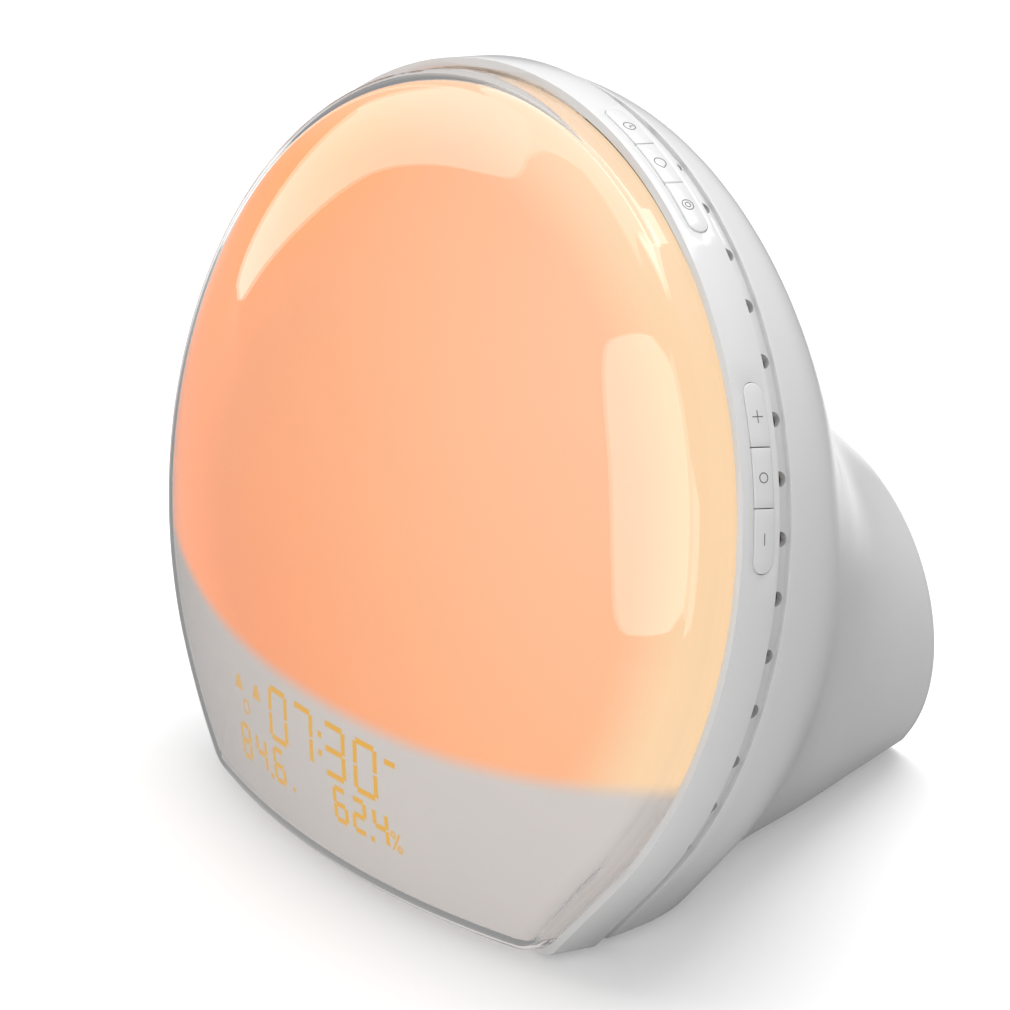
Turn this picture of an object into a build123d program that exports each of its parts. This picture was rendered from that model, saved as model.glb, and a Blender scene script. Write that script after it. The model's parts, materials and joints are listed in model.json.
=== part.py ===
from build123d import *

import os
from math import asin, cos, radians, sin, tan

# Sunrise alarm clock: a leaning round lamp face on a housing that narrows to a speaker stub.
# Millimetres, +Z up. The face looks towards -Y, and its keys are on the +X side.
# The origin is on the table, under the middle of the clock's box.

# ---------------------------------------------------------------- driving dimensions
LEAN = 14.2             # the face leans back by this many degrees
AXIS_H = 77.8           # height of the ring's front centre above the table
FACE_Y = -32.5          # the ring's front centre, ahead of the origin
BASE_Z = 1.0            # underside of the housing, on feet this high

RING_R = 95.0           # front edge of the ring
RING_FLARE = 0.6        # how much its rear edge is larger
RING_EDGE = 1.55        # what is left of the ring behind the key slots
RING_WALL = 1.2
LIP_W = 1.9             # its front lip, seen from the front
LIP_GAP = 0.3           # between the front lip and the clear cover
LIP_T = 0.8
RING_CORNER = 4.0       # its outline's two corners at the flat base
SIDE_ANGLE = 38.0       # degrees below the middle where a round outline runs on straight to its base

LENS_T = 2.2            # clear cover
LENS_FLANGE_T = 1.0
LENS_CORNER = 9.0
LENS_DRAFT = 2.0        # how much narrower its wall is, beyond the top of its dome
CORNER_LEAST = 1.5
LENS_LIFT = 0.2         # its base above the ring's
SHOULDER_ROUND = 5.5    # between its side wall and its dome
DOME_B = 30.7           # how far the top of the dome stands before the ring
SHOULDER_H = 7.66       # how far the edge between side wall and dome does

DIFFUSER_GAP = 0.3
DIFFUSER_T = 1.6

REFLECTOR_FLANGE_T = 1.2
REFLECTOR_RIM = 13.7    # flange round the mouth of the bowl
REFLECTOR_T = 1.6
BOWL_DEPTH = 36.0       # floor of the bowl, behind the ring's front edge
BOWL_FLOOR_R = 42.0
BOWL_RISE = 4.0         # its axis is above the face's centre
SHELF_UP = 38.7         # edge between lamp and display, up the face from its base
BAFFLE_T = 1.2
BAFFLE_SAG = 7.5        # how much the edge rises at both ends
LED_W = 3.5
LED_T = 1.2
BLEED_GAP = 4.0         # light passes over the baffle's front edge here
LAMP_BOARD_GAP = 2.5    # between the lamp board's rim and the bowl's floor
LAMP_RINGS = ((15.0, 8), (30.0, 16))    # radius, and how many lamps

GROOVE_W = 4.4
GROOVE_DEEP = 2.2       # its floor is this much inside the ring's front edge
GROOVE_LIFT = 2.8       # and this much above the base
VENT_D = 3.2
VENT_PITCH = 7.54       # degrees
VENT_COUNT = 33         # over the top of the groove, the middle one straight up
VENT_BACK = 2.6         # their middle, behind the ring's rear edge
COVER_STEP = 0.9        # front edge of the rear cover, inside the ring's
COVER_WALL = 2.4
LAP_T = 2.5             # spigot of the rear cover inside the ring
NECK_OVERLAP = 0.5      # the groove's floor runs on into ring and cover by this much
FIT = 0.15              # clearance of pieces that only drop into place

END_R = 38.8            # rear end of the stub
END_H = 30.0            # its centre above the table
END_BACK = 100.9        # how far it is behind the ring's front centre
# stations of the rear cover between its front edge and its end: share of the way back,
# share of the drop, and share of the radius that is left
STATIONS = [
    (0.0, 0.0, 1.0),
    (0.152, 0.067, 0.933),
    (0.304, 0.148, 0.749),
    (0.442, 0.344, 0.552),
    (0.594, 0.600, 0.365),
    (0.787, 0.818, 0.175),
    (1.0, 1.0, 0.0),
]
END_CORNER = 8.0        # corners of the stub at its base
END_ROUND = 1.5         # rim of its rear face

KEY_GROUPS = {"upper": 66.3, "lower": 22.3}     # degrees up from the right-hand side
KEY_NAMES = {
    "upper": ["key_alarm", "key_sound", "key_light"],
    "lower": ["key_plus", "key_set", "key_minus"],
}
KEY_CLEAR = 0.25        # between the flanges of keys and clear cover
KEY_ROW = 39.0          # length of a row of three keys
KEY_W = 5.0
KEY_GAP = 0.2           # between two keys of a row
KEY_PITCH = 12.4
KEY_PROUD = 0.3
KEY_FLANGE = 0.7        # how much the hidden flange is wider than the key
KEY_FLANGE_T = 1.0
KEY_TRAVEL = 0.6
STEM_W = 2.4
PLUNGER_D = 1.8
PLUNGER_H = 1.0
SWITCH_W = 4.5
SWITCH_H = 2.0
KEY_BOARD = (44.0, 5.8, 1.2)
CARRIER_T = 1.4
CARRIER_POST = 1.5      # thickness of its end posts
BAY_ROOM = (9.0, 2.0)   # how much the keys' room is longer and wider than their row

GRILLE_R = 25.0
GRILLE_Z = 31.6         # centre of speaker and grille above the table
GRILLE_T = 1.6
GRILLE_RIM = 4.0        # plain edge outside the middle of its last ring of holes
GRILLE_LEDGE = 2.0      # the cover's ledge that it lies on
GRILLE_HOLE_D = 2.2
GRILLE_RINGS = 5
SPEAKER_R = 26.0
SPEAKER_DEPTH = 17.0
SPEAKER_SHEET = 1.0
CONE_R = 20.5
CUP_R = 23.0
COIL_R = 6.5
MAGNET_R = 14.0
MAGNET_T = 7.0

JACK_IN = 4.9           # middle of the jack, from the stub's side wall
JACK_SIZE = (9.0, 13.0, 9.0)
JACK_HOLE_D = 5.5
JACK_LIP = 0.8          # wall of its nose
JACK_FLOOR = 2.0
JACK_PIN_D = 2.1
JACK_BOARD_RIM = 1.5    # of its board, round the jack

CELL_R = 10.0
CELL_T = 3.2
CELL_LIFT = 0.2         # above its door
CELL_ROOM = 2.0         # between its door's top and the tray's ceiling, beside its own height
LEAF_T = 0.3
LEAF_W = 5.0
CELL_Y = 8.0            # middle of the battery door, behind the origin
DOOR = (34.0, 27.0, 1.6)
DOOR_LEDGE = 1.5
TRAY_WALL = 1.2

BOARD = (56.0, 44.0, 1.6)
BOARD_Y = 12.0
BOARD_Z = 15.0
BOARD_HOLE_IN = 4.0     # its screw holes, from its edges
BOSS_D = 6.0
SCREW_D = 2.6
SCREW_HEAD_D = 5.0
SCREW_HEAD_H = 1.8
SCREW_SHANK = 7.0

FOOT_D = 12.0
FOOT_SINK = 1.0         # how deep a foot sits in its pocket
FRONT_FEET = (40.0, 2.5)    # half their distance, and how far behind the ring's front centre
REAR_FEET = (18.0, 12.4)    # half their distance, and how far before the rear face

GUIDE_HALF = 42.0       # display light guide, half its width
GUIDE_DROP = 3.0        # its top edge below the edge between lamp and display
GUIDE_UP = 10.2         # its bottom edge, up the face from its base
DISPLAY_BOARD_RIM = (4.0, 3.0)  # how far its board reaches beyond it sideways and down
DIGIT_W = 6.6
DIGIT_H = 11.6
DIGIT_STROKE = 1.0
BAR_SHORT = 1.4         # strokes by which a bar is shorter than its side of the digit
DIGIT_UP = 26.6         # middle of the digits, up the face from its base
DIGIT_X = [-18.0, -8.0, 3.6, 14.1]
SMALL_W = 4.6           # the same for the two rows of small digits below
SMALL_H = 8.2
SMALL_STROKE = 0.8
SMALL_UP = 14.8
SMALL_X = [-34.3, -26.8, -19.0, 4.6, 11.0, 18.0]

SIN = sin(radians(LEAN))
COS = cos(radians(LEAN))
BIG = 600.0
ON_TOP = (Align.CENTER, Align.CENTER, Align.MIN)
TOP_DOWN = (Align.CENTER, Align.CENTER, Align.MAX)

RING_BORE_R = RING_R - RING_WALL
LIP_R = RING_R - LIP_W
LENS_R = LIP_R - LIP_GAP                # side wall of the clear cover
DOME_RISE = DOME_B - SHOULDER_H
DOME_R = (LENS_R**2 + DOME_RISE**2) / (2 * DOME_RISE)
FLANGE_R = RING_BORE_R - 0.1            # flanges of lens and reflector, inside the ring
FLANGE_LIFT = RING_WALL + LIP_GAP       # flanges stand clear of the ring's lower wall
FLANGE_FRONT = LIP_T + LENS_FLANGE_T
FLANGE_BACK = FLANGE_FRONT + REFLECTOR_FLANGE_T
KEY_BACK = FLANGE_FRONT + KEY_CLEAR + KEY_FLANGE + KEY_W / 2
RING_DEPTH = KEY_BACK + KEY_W / 2 + RING_EDGE
REFLECTOR_R = FLANGE_R - REFLECTOR_RIM
BAFFLE_HALF = REFLECTOR_R - 2.0
GROOVE_R = RING_R - GROOVE_DEEP
COVER_R = RING_R - COVER_STEP
DIFFUSER_INSET = LENS_T + DIFFUSER_GAP
LAP_R = RING_BORE_R - FIT
JACK_X = END_R - COVER_WALL - JACK_IN
RIM_BACK = COVER_WALL + SPEAKER_SHEET   # the speaker's rim lies on the cover's end wall

BASE_V = (BASE_Z - AXIS_H) / COS        # the base, measured down the face from its centre
SHELF_V = BASE_V + SHELF_UP
GUIDE_TOP = SHELF_V - GUIDE_DROP
GUIDE_BOTTOM = BASE_V + GUIDE_UP
DIGIT_V = BASE_V + DIGIT_UP
SMALL_V = BASE_V + SMALL_UP
FEET = [
    (side * half, y)
    for half, y in (
        (FRONT_FEET[0], FACE_Y + FRONT_FEET[1]),
        (REAR_FEET[0], FACE_Y + END_BACK - REAR_FEET[1]),
    )
    for side in (-1, 1)
]


# ---------------------------------------------------------------- frames and sections
def face_plane(depth):
    """Plane of the face, at a depth behind the ring's front edge: x right, y up, z forward."""
    centre = (0, FACE_Y + depth * COS, AXIS_H - depth * SIN)
    return Plane(origin=centre, x_dir=(1, 0, 0), z_dir=(0, -COS, SIN))


FACE = face_plane(0)


def section(plane, radius, corner, inset=0.0):
    """A round outline that runs straight down to a flat base, in a plane that leans back."""
    base = (BASE_Z + inset - plane.origin.Z) / plane.y_dir.Z
    angle = radians(SIDE_ANGLE)
    side_x, side_y = radius * cos(angle), -radius * sin(angle)
    foot_x = side_x - (side_y - base) * tan(angle)
    outline = Polyline((-side_x, side_y), (-foot_x, base), (foot_x, base), (side_x, side_y))
    face = make_face([outline, ThreePointArc((side_x, side_y), (0, radius), (-side_x, side_y))])
    return plane * fillet(face.vertices().group_by(Axis.Y)[0], corner)


def tube(*steps, lift=0.0):
    """A solid through outlines inside the ring, each as (depth, radius, inset of its base)."""
    outlines = [section(face_plane(d), r, inner_corner(r), i + lift) for d, r, i in steps]
    return loft(outlines, ruled=True)


def inner_corner(radius):
    return max(LENS_CORNER + radius - LENS_R, CORNER_LEAST)


def radial_plane(angle, depth, radius=0.0):
    """Plane at a radius in the face, z outwards, x along the ring and y towards the front."""
    outward = FACE.x_dir * cos(radians(angle)) + FACE.y_dir * sin(radians(angle))
    along = FACE.y_dir * cos(radians(angle)) - FACE.x_dir * sin(radians(angle))
    origin = face_plane(depth).origin + outward * radius
    return Plane(origin=origin, x_dir=-along, z_dir=outward)


def rounded_box(width, height, depth, radius):
    return extrude(RectangleRounded(width, height, radius), depth)


# ---------------------------------------------------------------- lamp face
def dome(inset, back):
    """The cover's outer form made smaller all round by an inset, closed at a depth."""
    near, far = (back, LENS_R - inset, inset), (-DOME_B - 5, LENS_R - LENS_DRAFT - inset, inset)
    walls = tube(near, far, lift=LENS_LIFT)
    centre = face_plane(DOME_R - DOME_B).origin
    return walls & (Pos(*centre) * Sphere(DOME_R - inset))


def lens_cover():
    """Clear shell with a flange behind the ring's lip and a step over the ring's lower wall."""
    flange = tube((LIP_T, FLANGE_R, 0), (FLANGE_FRONT, FLANGE_R, 0), lift=FLANGE_LIFT)
    start = LIP_T - LIP_GAP
    room = tube((start, FLANGE_R, 0), (FLANGE_FRONT, FLANGE_R, 0), lift=FLANGE_LIFT)
    step = extrude(face_plane(start) * Rectangle(BIG, BIG), -BIG) - room
    outer = dome(0, FLANGE_FRONT)
    front = outer.faces().filter_by(GeomType.SPHERE)[0]
    outer = fillet(front.edges(), SHOULDER_ROUND)
    return outer - step + flange - dome(LENS_T, FLANGE_FRONT + 1)


def diffuser():
    hollow = dome(DIFFUSER_INSET + DIFFUSER_T, FLANGE_FRONT + 1)
    return dome(DIFFUSER_INSET, FLANGE_FRONT) - hollow


def bowl(inset, back_inset, extra):
    """A round bowl with a flat shelf along its lower side."""
    height = BOWL_DEPTH - back_inset - FLANGE_FRONT + extra
    floor_r, mouth_r = BOWL_FLOOR_R - inset, REFLECTOR_R - inset
    cone = Pos(0, BOWL_RISE) * Cone(floor_r, mouth_r, height, align=ON_TOP)
    cone = face_plane(BOWL_DEPTH - back_inset) * cone
    shelf = SHELF_V - REFLECTOR_T + inset
    keep = FACE * (Pos(0, shelf) * Box(BIG, BIG, BIG, align=(Align.CENTER, Align.MIN, Align.CENTER)))
    return cone & keep


def reflector():
    flange = tube((FLANGE_FRONT, FLANGE_R, 0), (FLANGE_BACK, FLANGE_R, 0), lift=FLANGE_LIFT)
    body = flange + bowl(0, 0, 0) - bowl(REFLECTOR_T, REFLECTOR_T, 1)
    body -= display_window(FIT)
    for angle in KEY_GROUPS.values():
        body -= key_bay(angle, CARRIER_LOW)
    return body


def light_baffle():
    """Curved wall between the lamp chamber and the display, open only along its front edge."""
    ends = SHELF_V + BAFFLE_SAG
    lower = ThreePointArc((-BAFFLE_HALF, ends), (0, SHELF_V), (BAFFLE_HALF, ends))
    upper = ThreePointArc(
        (BAFFLE_HALF, ends + BAFFLE_T), (0, SHELF_V + BAFFLE_T), (-BAFFLE_HALF, ends + BAFFLE_T)
    )
    strip = make_face([lower, Line(lower @ 1, upper @ 0), upper, Line(upper @ 1, lower @ 0)])
    wall = extrude(face_plane(FLANGE_FRONT) * strip, DOME_B * 2)
    return wall & dome(DIFFUSER_INSET + DIFFUSER_T + BLEED_GAP, FLANGE_FRONT)


def lamp_board():
    disc = Pos(0, BOWL_RISE) * Circle(BOWL_FLOOR_R - REFLECTOR_T - LAMP_BOARD_GAP)
    flat = Pos(0, SHELF_V + 1.0) * Rectangle(BIG, BIG, align=(Align.CENTER, Align.MIN))
    return extrude(face_plane(BOWL_DEPTH - REFLECTOR_T) * (disc & flat), BOARD[2])


def lamp_leds():
    """Lamps in two rings and one in the middle."""
    top = face_plane(BOWL_DEPTH - REFLECTOR_T - BOARD[2])
    spots = [Pos(0, BOWL_RISE)]
    for radius, count in LAMP_RINGS:
        spots += [Pos(0, BOWL_RISE) * spot for spot in PolarLocations(radius, count)]
    return [extrude(top * spot * Rectangle(LED_W, LED_W), LED_T) for spot in spots]


# ---------------------------------------------------------------- display
def display_window(gap):
    width = 2 * (GUIDE_HALF + gap)
    height = GUIDE_TOP - GUIDE_BOTTOM + 2 * gap
    middle = (GUIDE_TOP + GUIDE_BOTTOM) / 2
    return face_plane(FLANGE_BACK + 1) * (Pos(0, middle) * rounded_box(width, height, 60, 1.5))


def segment_bars(x, v, width, height, stroke):
    """The seven bars of one digit, as (centre x, centre y, width, height)."""
    w, h = width - stroke, height - stroke
    across = w - BAR_SHORT * stroke
    up = h / 2 - BAR_SHORT * stroke
    bars = [(x, v + row * h / 2, across, stroke) for row in (-1, 0, 1)]
    bars += [(x + side * w / 2, v + row * h / 4, stroke, up) for side in (-1, 1) for row in (-1, 1)]
    return bars


def display_guide():
    """Light guide block with one well for each bar of the digits and for the colon."""
    body = display_window(0) & dome(DIFFUSER_INSET + DIFFUSER_T + DIFFUSER_GAP, FLANGE_BACK)
    bars = [bar for x in DIGIT_X for bar in segment_bars(x, DIGIT_V, DIGIT_W, DIGIT_H, DIGIT_STROKE)]
    bars += [bar for x in SMALL_X for bar in segment_bars(x, SMALL_V, SMALL_W, SMALL_H, SMALL_STROKE)]
    colon = (DIGIT_X[1] + DIGIT_X[2]) / 2
    bars += [(colon, DIGIT_V + side * DIGIT_H / 5, DIGIT_STROKE, DIGIT_STROKE) for side in (-1, 1)]
    wells = Sketch() + [Pos(x, v) * Rectangle(w, h) for x, v, w, h in bars]
    return body - extrude(face_plane(FLANGE_BACK) * wells, 60)


def display_board():
    top = SHELF_V - REFLECTOR_T - FIT
    width, height = 2 * (GUIDE_HALF + DISPLAY_BOARD_RIM[0]), top - GUIDE_BOTTOM + DISPLAY_BOARD_RIM[1]
    plate = Pos(0, top - height / 2) * RectangleRounded(width, height, 1.0)
    return extrude(face_plane(FLANGE_BACK + BOARD[2]) * plate, BOARD[2])


def display_chips():
    """Driver chip and two connectors on the back of the display board."""
    middle = (GUIDE_TOP + GUIDE_BOTTOM) / 2
    back = face_plane(FLANGE_BACK + BOARD[2])
    parts = [(0, 10, 10, 1.8), (-26, 9, 5, 4.5), (26, 9, 5, 4.5)]
    return [extrude(back * (Pos(x, middle) * Rectangle(w, h)), -t) for x, w, h, t in parts]


# ---------------------------------------------------------------- ring and keys
def ring_form(proud=0.0):
    front = section(face_plane(0), RING_R + proud, RING_CORNER)
    back = section(face_plane(RING_DEPTH), RING_R + RING_FLARE + proud, RING_CORNER)
    return loft([front, back], ruled=True)


def front_ring():
    bore = tube((LIP_T, RING_BORE_R, RING_WALL), (RING_DEPTH + 1, RING_BORE_R, RING_WALL))
    mouth = tube((-1, LIP_R, LENS_LIFT - LIP_GAP), (LIP_T, LIP_R, LENS_LIFT - LIP_GAP))
    ring = ring_form() - bore - mouth
    for angle in KEY_GROUPS.values():
        ring -= key_prism(angle, 0)
    return ring


def key_prism(angle, inset, low=None, high=12.0):
    """A row's outline with round ends, cut outwards through the ring's wall."""
    low = RING_R - 12 if low is None else low
    outline = SlotOverall(KEY_ROW - 2 * inset, KEY_W - 2 * inset)
    return extrude(radial_plane(angle, KEY_BACK, low) * outline, RING_R + high - low)


def key_bay(angle, low):
    """Room that the keys' flanges and carrier need inside the ring."""
    outline = Rectangle(KEY_ROW + BAY_ROOM[0], KEY_W + BAY_ROOM[1])
    return extrude(radial_plane(angle, KEY_BACK, low) * outline, RING_R)


def key_slice(angle, index):
    """The slab that one key of a row takes; the end keys run on past the row's round ends."""
    half = (KEY_PITCH - KEY_GAP) / 2
    shift = (index - 1) * KEY_PITCH
    low = shift - (KEY_ROW if index == 0 else half)
    high = shift + (KEY_ROW if index == 2 else half)
    slab = Pos((low + high) / 2, 0) * Rectangle(high - low, KEY_W * 4)
    return extrude(radial_plane(angle, KEY_BACK) * slab, RING_R * 2)


def key_centre(index):
    """Where a key's stem stands along the row."""
    return (index - 1) * KEY_PITCH


SAG = FLANGE_R * (1 - cos(asin(KEY_ROW / 2 / FLANGE_R)))
PLUNGER_TOP = FLANGE_R - KEY_FLANGE_T - SAG - 0.6
SWITCH_TOP = PLUNGER_TOP - PLUNGER_H
BOARD_TOP = SWITCH_TOP - SWITCH_H
CARRIER_LOW = BOARD_TOP - KEY_BOARD[2] - CARRIER_T


def keys(angle):
    """The three caps of one row, each with a flange inside the ring and a stem to its switch."""
    flange_row = SlotOverall(KEY_ROW + 2 * KEY_FLANGE, KEY_W + 2 * KEY_FLANGE)
    flange = extrude(radial_plane(angle, KEY_BACK, BOARD_TOP) * flange_row, RING_R)
    inner = tube((-5, FLANGE_R, 0), (RING_DEPTH + 5, FLANGE_R, 0))
    core = tube((-5, FLANGE_R - KEY_FLANGE_T, 0), (RING_DEPTH + 5, FLANGE_R - KEY_FLANGE_T, 0))
    cap = (key_prism(angle, FIT) & ring_form(KEY_PROUD)) - core
    row = cap + (flange & inner) - core
    solids = []
    for index in range(3):
        key = row & key_slice(angle, index)
        foot = Pos(key_centre(index), 0) * Rectangle(STEM_W, STEM_W)
        height = RING_R - RING_WALL / 2 - PLUNGER_TOP - SAG / 2
        stem = extrude(radial_plane(angle, KEY_BACK, PLUNGER_TOP) * foot, height)
        solids.append(key + stem)
    return solids


def plungers(angle):
    top = radial_plane(angle, KEY_BACK, SWITCH_TOP)
    pin = Circle(PLUNGER_D / 2)
    return [extrude(top * Pos(key_centre(i), 0) * pin, PLUNGER_H) for i in range(3)]


def switches(angle):
    """Switch bodies, each with a well that its plunger sinks into."""
    tops = radial_plane(angle, KEY_BACK, BOARD_TOP)
    wells = radial_plane(angle, KEY_BACK, SWITCH_TOP - KEY_TRAVEL - 0.2)
    solids = []
    for i in range(3):
        spot = Pos(key_centre(i), 0)
        body = extrude(tops * (spot * Rectangle(SWITCH_W, SWITCH_W)), SWITCH_H)
        solids.append(body - extrude(wells * (spot * Circle(PLUNGER_D / 2 + 0.1)), SWITCH_H))
    return solids


def key_board(angle):
    length, width, thick = KEY_BOARD
    return extrude(radial_plane(angle, KEY_BACK, BOARD_TOP) * Rectangle(length, width), -thick)


def key_carrier(angle):
    """Tray under a key board, with an end post each side that stands against the ring."""
    length, width, thick = KEY_BOARD
    under = radial_plane(angle, KEY_BACK, BOARD_TOP - thick)
    tray = extrude(under * Rectangle(length + 2 * CARRIER_POST, width), -CARRIER_T)
    for side in (-1, 1):
        spot = Pos(side * (length + CARRIER_POST + FIT) / 2, 0)
        post = under * (spot * Rectangle(CARRIER_POST - FIT, width))
        tray += extrude(post, RING_R - BOARD_TOP)
    limit = tube((-5, LAP_R, 0), (RING_DEPTH + 5, LAP_R, 0))
    return tray & limit


# ---------------------------------------------------------------- rear cover
def station(index, inset=0.0, forward=0.0):
    """One cross section of the rear cover."""
    back_share, drop_share, radius_share = STATIONS[index]
    front = face_plane(RING_DEPTH + GROOVE_W)
    back = front.origin.Y + back_share * (FACE_Y + END_BACK - front.origin.Y) - forward
    height = front.origin.Z + drop_share * (END_H - front.origin.Z)
    radius = END_R + radius_share * (COVER_R - END_R) - inset
    tilt = radians(LEAN * (1 - index / (len(STATIONS) - 1)))
    plane = Plane(origin=(0, back, height), x_dir=(1, 0, 0), z_dir=(0, -cos(tilt), sin(tilt)))
    corner = RING_CORNER + back_share * (END_CORNER - RING_CORNER)
    return section(plane, radius, max(corner - inset, CORNER_LEAST), inset)


def cover_form(inset=0.0):
    """The cover's outer form, or its plainer hollow when it is made smaller by an inset."""
    last = len(STATIONS) - 1
    shift = [0.0 if i == 0 else inset for i in range(last + 1)]
    return loft([station(i, inset, shift[i]) for i in range(last + 1)], ruled=inset > 0)


def spigot():
    """Neck of the rear cover: the groove's floor, and the lap that goes into the ring."""
    groove = RING_DEPTH + GROOVE_W
    ends = (RING_DEPTH - NECK_OVERLAP, groove + NECK_OVERLAP)
    neck = tube(*[(depth, GROOVE_R, GROOVE_LIFT) for depth in ends])
    lap = tube(*[(depth, LAP_R, RING_WALL + FIT) for depth in (FLANGE_BACK, ends[0])])
    body = neck + lap
    for angle in KEY_GROUPS.values():
        body -= key_bay(angle, CARRIER_LOW - 2)
    return body


def vent_holes():
    """Round vents through the groove's floor, from one side over the top to the other."""
    holes = []
    for i in range(VENT_COUNT):
        angle = 90 + (i - (VENT_COUNT - 1) / 2) * VENT_PITCH
        plane = radial_plane(angle, RING_DEPTH + VENT_BACK, GROOVE_R - 2 * COVER_WALL)
        holes.append(extrude(plane * Circle(VENT_D / 2), 2 * COVER_WALL + 1))
    return holes


def rear_cover():
    groove = RING_DEPTH + GROOVE_W
    outer = cover_form()
    end_face = outer.faces().sort_by(Axis.Y)[-1]
    outer = fillet(end_face.edges(), END_ROUND)
    hollow = cover_form(COVER_WALL)
    throat_r, throat_base = LAP_R - LAP_T, RING_WALL + FIT + LAP_T
    throat = tube((-5, throat_r, throat_base), (groove + 1, throat_r, throat_base))
    cover = outer + spigot() - hollow - throat
    cover -= vent_holes()
    cover -= extrude(rear_plane(2 * COVER_WALL) * Circle(GRILLE_R - GRILLE_LEDGE), 3 * COVER_WALL)
    cover -= extrude(rear_plane(GRILLE_T) * Circle(GRILLE_R + FIT), 2 * GRILLE_T)
    jack_hole = Circle(JACK_HOLE_D / 2 + JACK_LIP + FIT)
    cover -= extrude(jack_plane(2 * COVER_WALL) * jack_hole, 3 * COVER_WALL)
    cover -= door_opening()
    cover += board_bosses()
    for x, y in FEET:
        cover -= Pos(x, y, BASE_Z) * Cylinder(FOOT_D / 2 + 0.1, 2 * FOOT_SINK)
    return cover


def door_opening():
    width, length, thick = DOOR
    ledge = Box(width + 2 * FIT, length + 2 * FIT, 2 * thick)
    through = Box(width - 2 * DOOR_LEDGE, length - 2 * DOOR_LEDGE, 20)
    return Pos(0, CELL_Y, BASE_Z) * (ledge + through)


def boss_spots():
    half_x, half_y = BOARD[0] / 2 - BOARD_HOLE_IN, BOARD[1] / 2 - BOARD_HOLE_IN
    return [(x * half_x, BOARD_Y + y * half_y) for x in (-1, 1) for y in (-1, 1)]


def board_bosses():
    low = BASE_Z + COVER_WALL / 2
    bosses = []
    for x, y in boss_spots():
        boss = Cylinder(BOSS_D / 2, BOARD_Z - low, align=ON_TOP)
        hole = Pos(0, 0, 4) * Cylinder(SCREW_D / 2, 40, align=ON_TOP)
        bosses.append(Pos(x, y, low) * (boss - hole))
    return bosses


# ---------------------------------------------------------------- what the rear cover holds
def rear_plane(back):
    """Plane across the stub at a distance before its rear face: z to the rear."""
    origin = (0, FACE_Y + END_BACK - back, GRILLE_Z)
    return Plane(origin=origin, x_dir=(-1, 0, 0), z_dir=(0, 1, 0))


def speaker_grille():
    """Perforated disc in the stub's rear face: rings of hexagonal holes."""
    disc = extrude(rear_plane(GRILLE_T) * Circle(GRILLE_R), GRILLE_T)
    pitch = (GRILLE_R - GRILLE_RIM) / GRILLE_RINGS
    hole = RegularPolygon(GRILLE_HOLE_D / 2, 6)
    holes = Sketch() + hole
    for ring in range(1, GRILLE_RINGS + 1):
        holes += [spot * hole for spot in PolarLocations(ring * pitch, 6 * ring)]
    return disc - extrude(rear_plane(3 * GRILLE_T) * holes, 6 * GRILLE_T)


def rear_cone(back, radius, far_back, far_radius):
    """Cone that narrows from one distance before the rear face to a larger one."""
    return rear_plane(far_back) * Cone(far_radius, radius, far_back - back, align=ON_TOP)


def speaker_frame():
    """Pressed basket: rim against the cover, cone-shaped cup and a seat for the magnet."""
    rim = extrude(rear_plane(RIM_BACK) * (Circle(SPEAKER_R) - Circle(CONE_R)), SPEAKER_SHEET)
    cup = rear_cone(RIM_BACK, CUP_R, SPEAKER_DEPTH, MAGNET_R)
    floor = SPEAKER_DEPTH - SPEAKER_SHEET
    return rim + cup - rear_cone(RIM_BACK, CUP_R - SPEAKER_SHEET, floor, MAGNET_R - SPEAKER_SHEET)


def speaker_cone():
    """Surround on the basket's rim, paper cone and voice coil."""
    surround = extrude(rear_plane(COVER_WALL) * (Circle(CONE_R + 1.5) - Circle(CONE_R - 1.2)), 0.6)
    neck = SPEAKER_DEPTH - SPEAKER_SHEET - 3.0
    outer = rear_cone(COVER_WALL, CONE_R - 0.5, neck, COIL_R)
    inner = rear_cone(COVER_WALL, CONE_R - 1.2, neck - 0.6, COIL_R)
    coil = extrude(rear_plane(SPEAKER_DEPTH - SPEAKER_SHEET) * Circle(COIL_R), 3.2)
    return surround + (outer - inner) + coil


def speaker_magnet():
    return extrude(rear_plane(SPEAKER_DEPTH + MAGNET_T) * Circle(MAGNET_R - 0.5), MAGNET_T)


def jack_plane(back):
    return Plane(origin=(JACK_X, FACE_Y + END_BACK - back, END_H), x_dir=(-1, 0, 0), z_dir=(0, 1, 0))


def power_jack():
    """Barrel jack: box behind the end wall, nose through its hole, bore and centre pin."""
    width, depth, height = JACK_SIZE
    deep = COVER_WALL + depth
    body = extrude(jack_plane(deep) * Rectangle(width, height), depth)
    nose = extrude(jack_plane(COVER_WALL) * Circle(JACK_HOLE_D / 2 + JACK_LIP), COVER_WALL - 0.4)
    bore = extrude(jack_plane(deep - JACK_FLOOR) * Circle(JACK_HOLE_D / 2), depth + COVER_WALL)
    pin = extrude(jack_plane(deep - JACK_FLOOR / 2) * Circle(JACK_PIN_D / 2), depth - JACK_FLOOR)
    return body + nose - bore + pin


def jack_board():
    """Small board that the jack is soldered to, behind it."""
    width, depth, height = JACK_SIZE
    plate = Rectangle(width + 2 * JACK_BOARD_RIM, height + 2 * JACK_BOARD_RIM)
    return extrude(jack_plane(COVER_WALL + depth) * plate, -BOARD[2])


def battery_door():
    width, length, thick = DOOR
    return Pos(0, CELL_Y, BASE_Z) * rounded_box(width, length, thick, 1.5)


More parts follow.
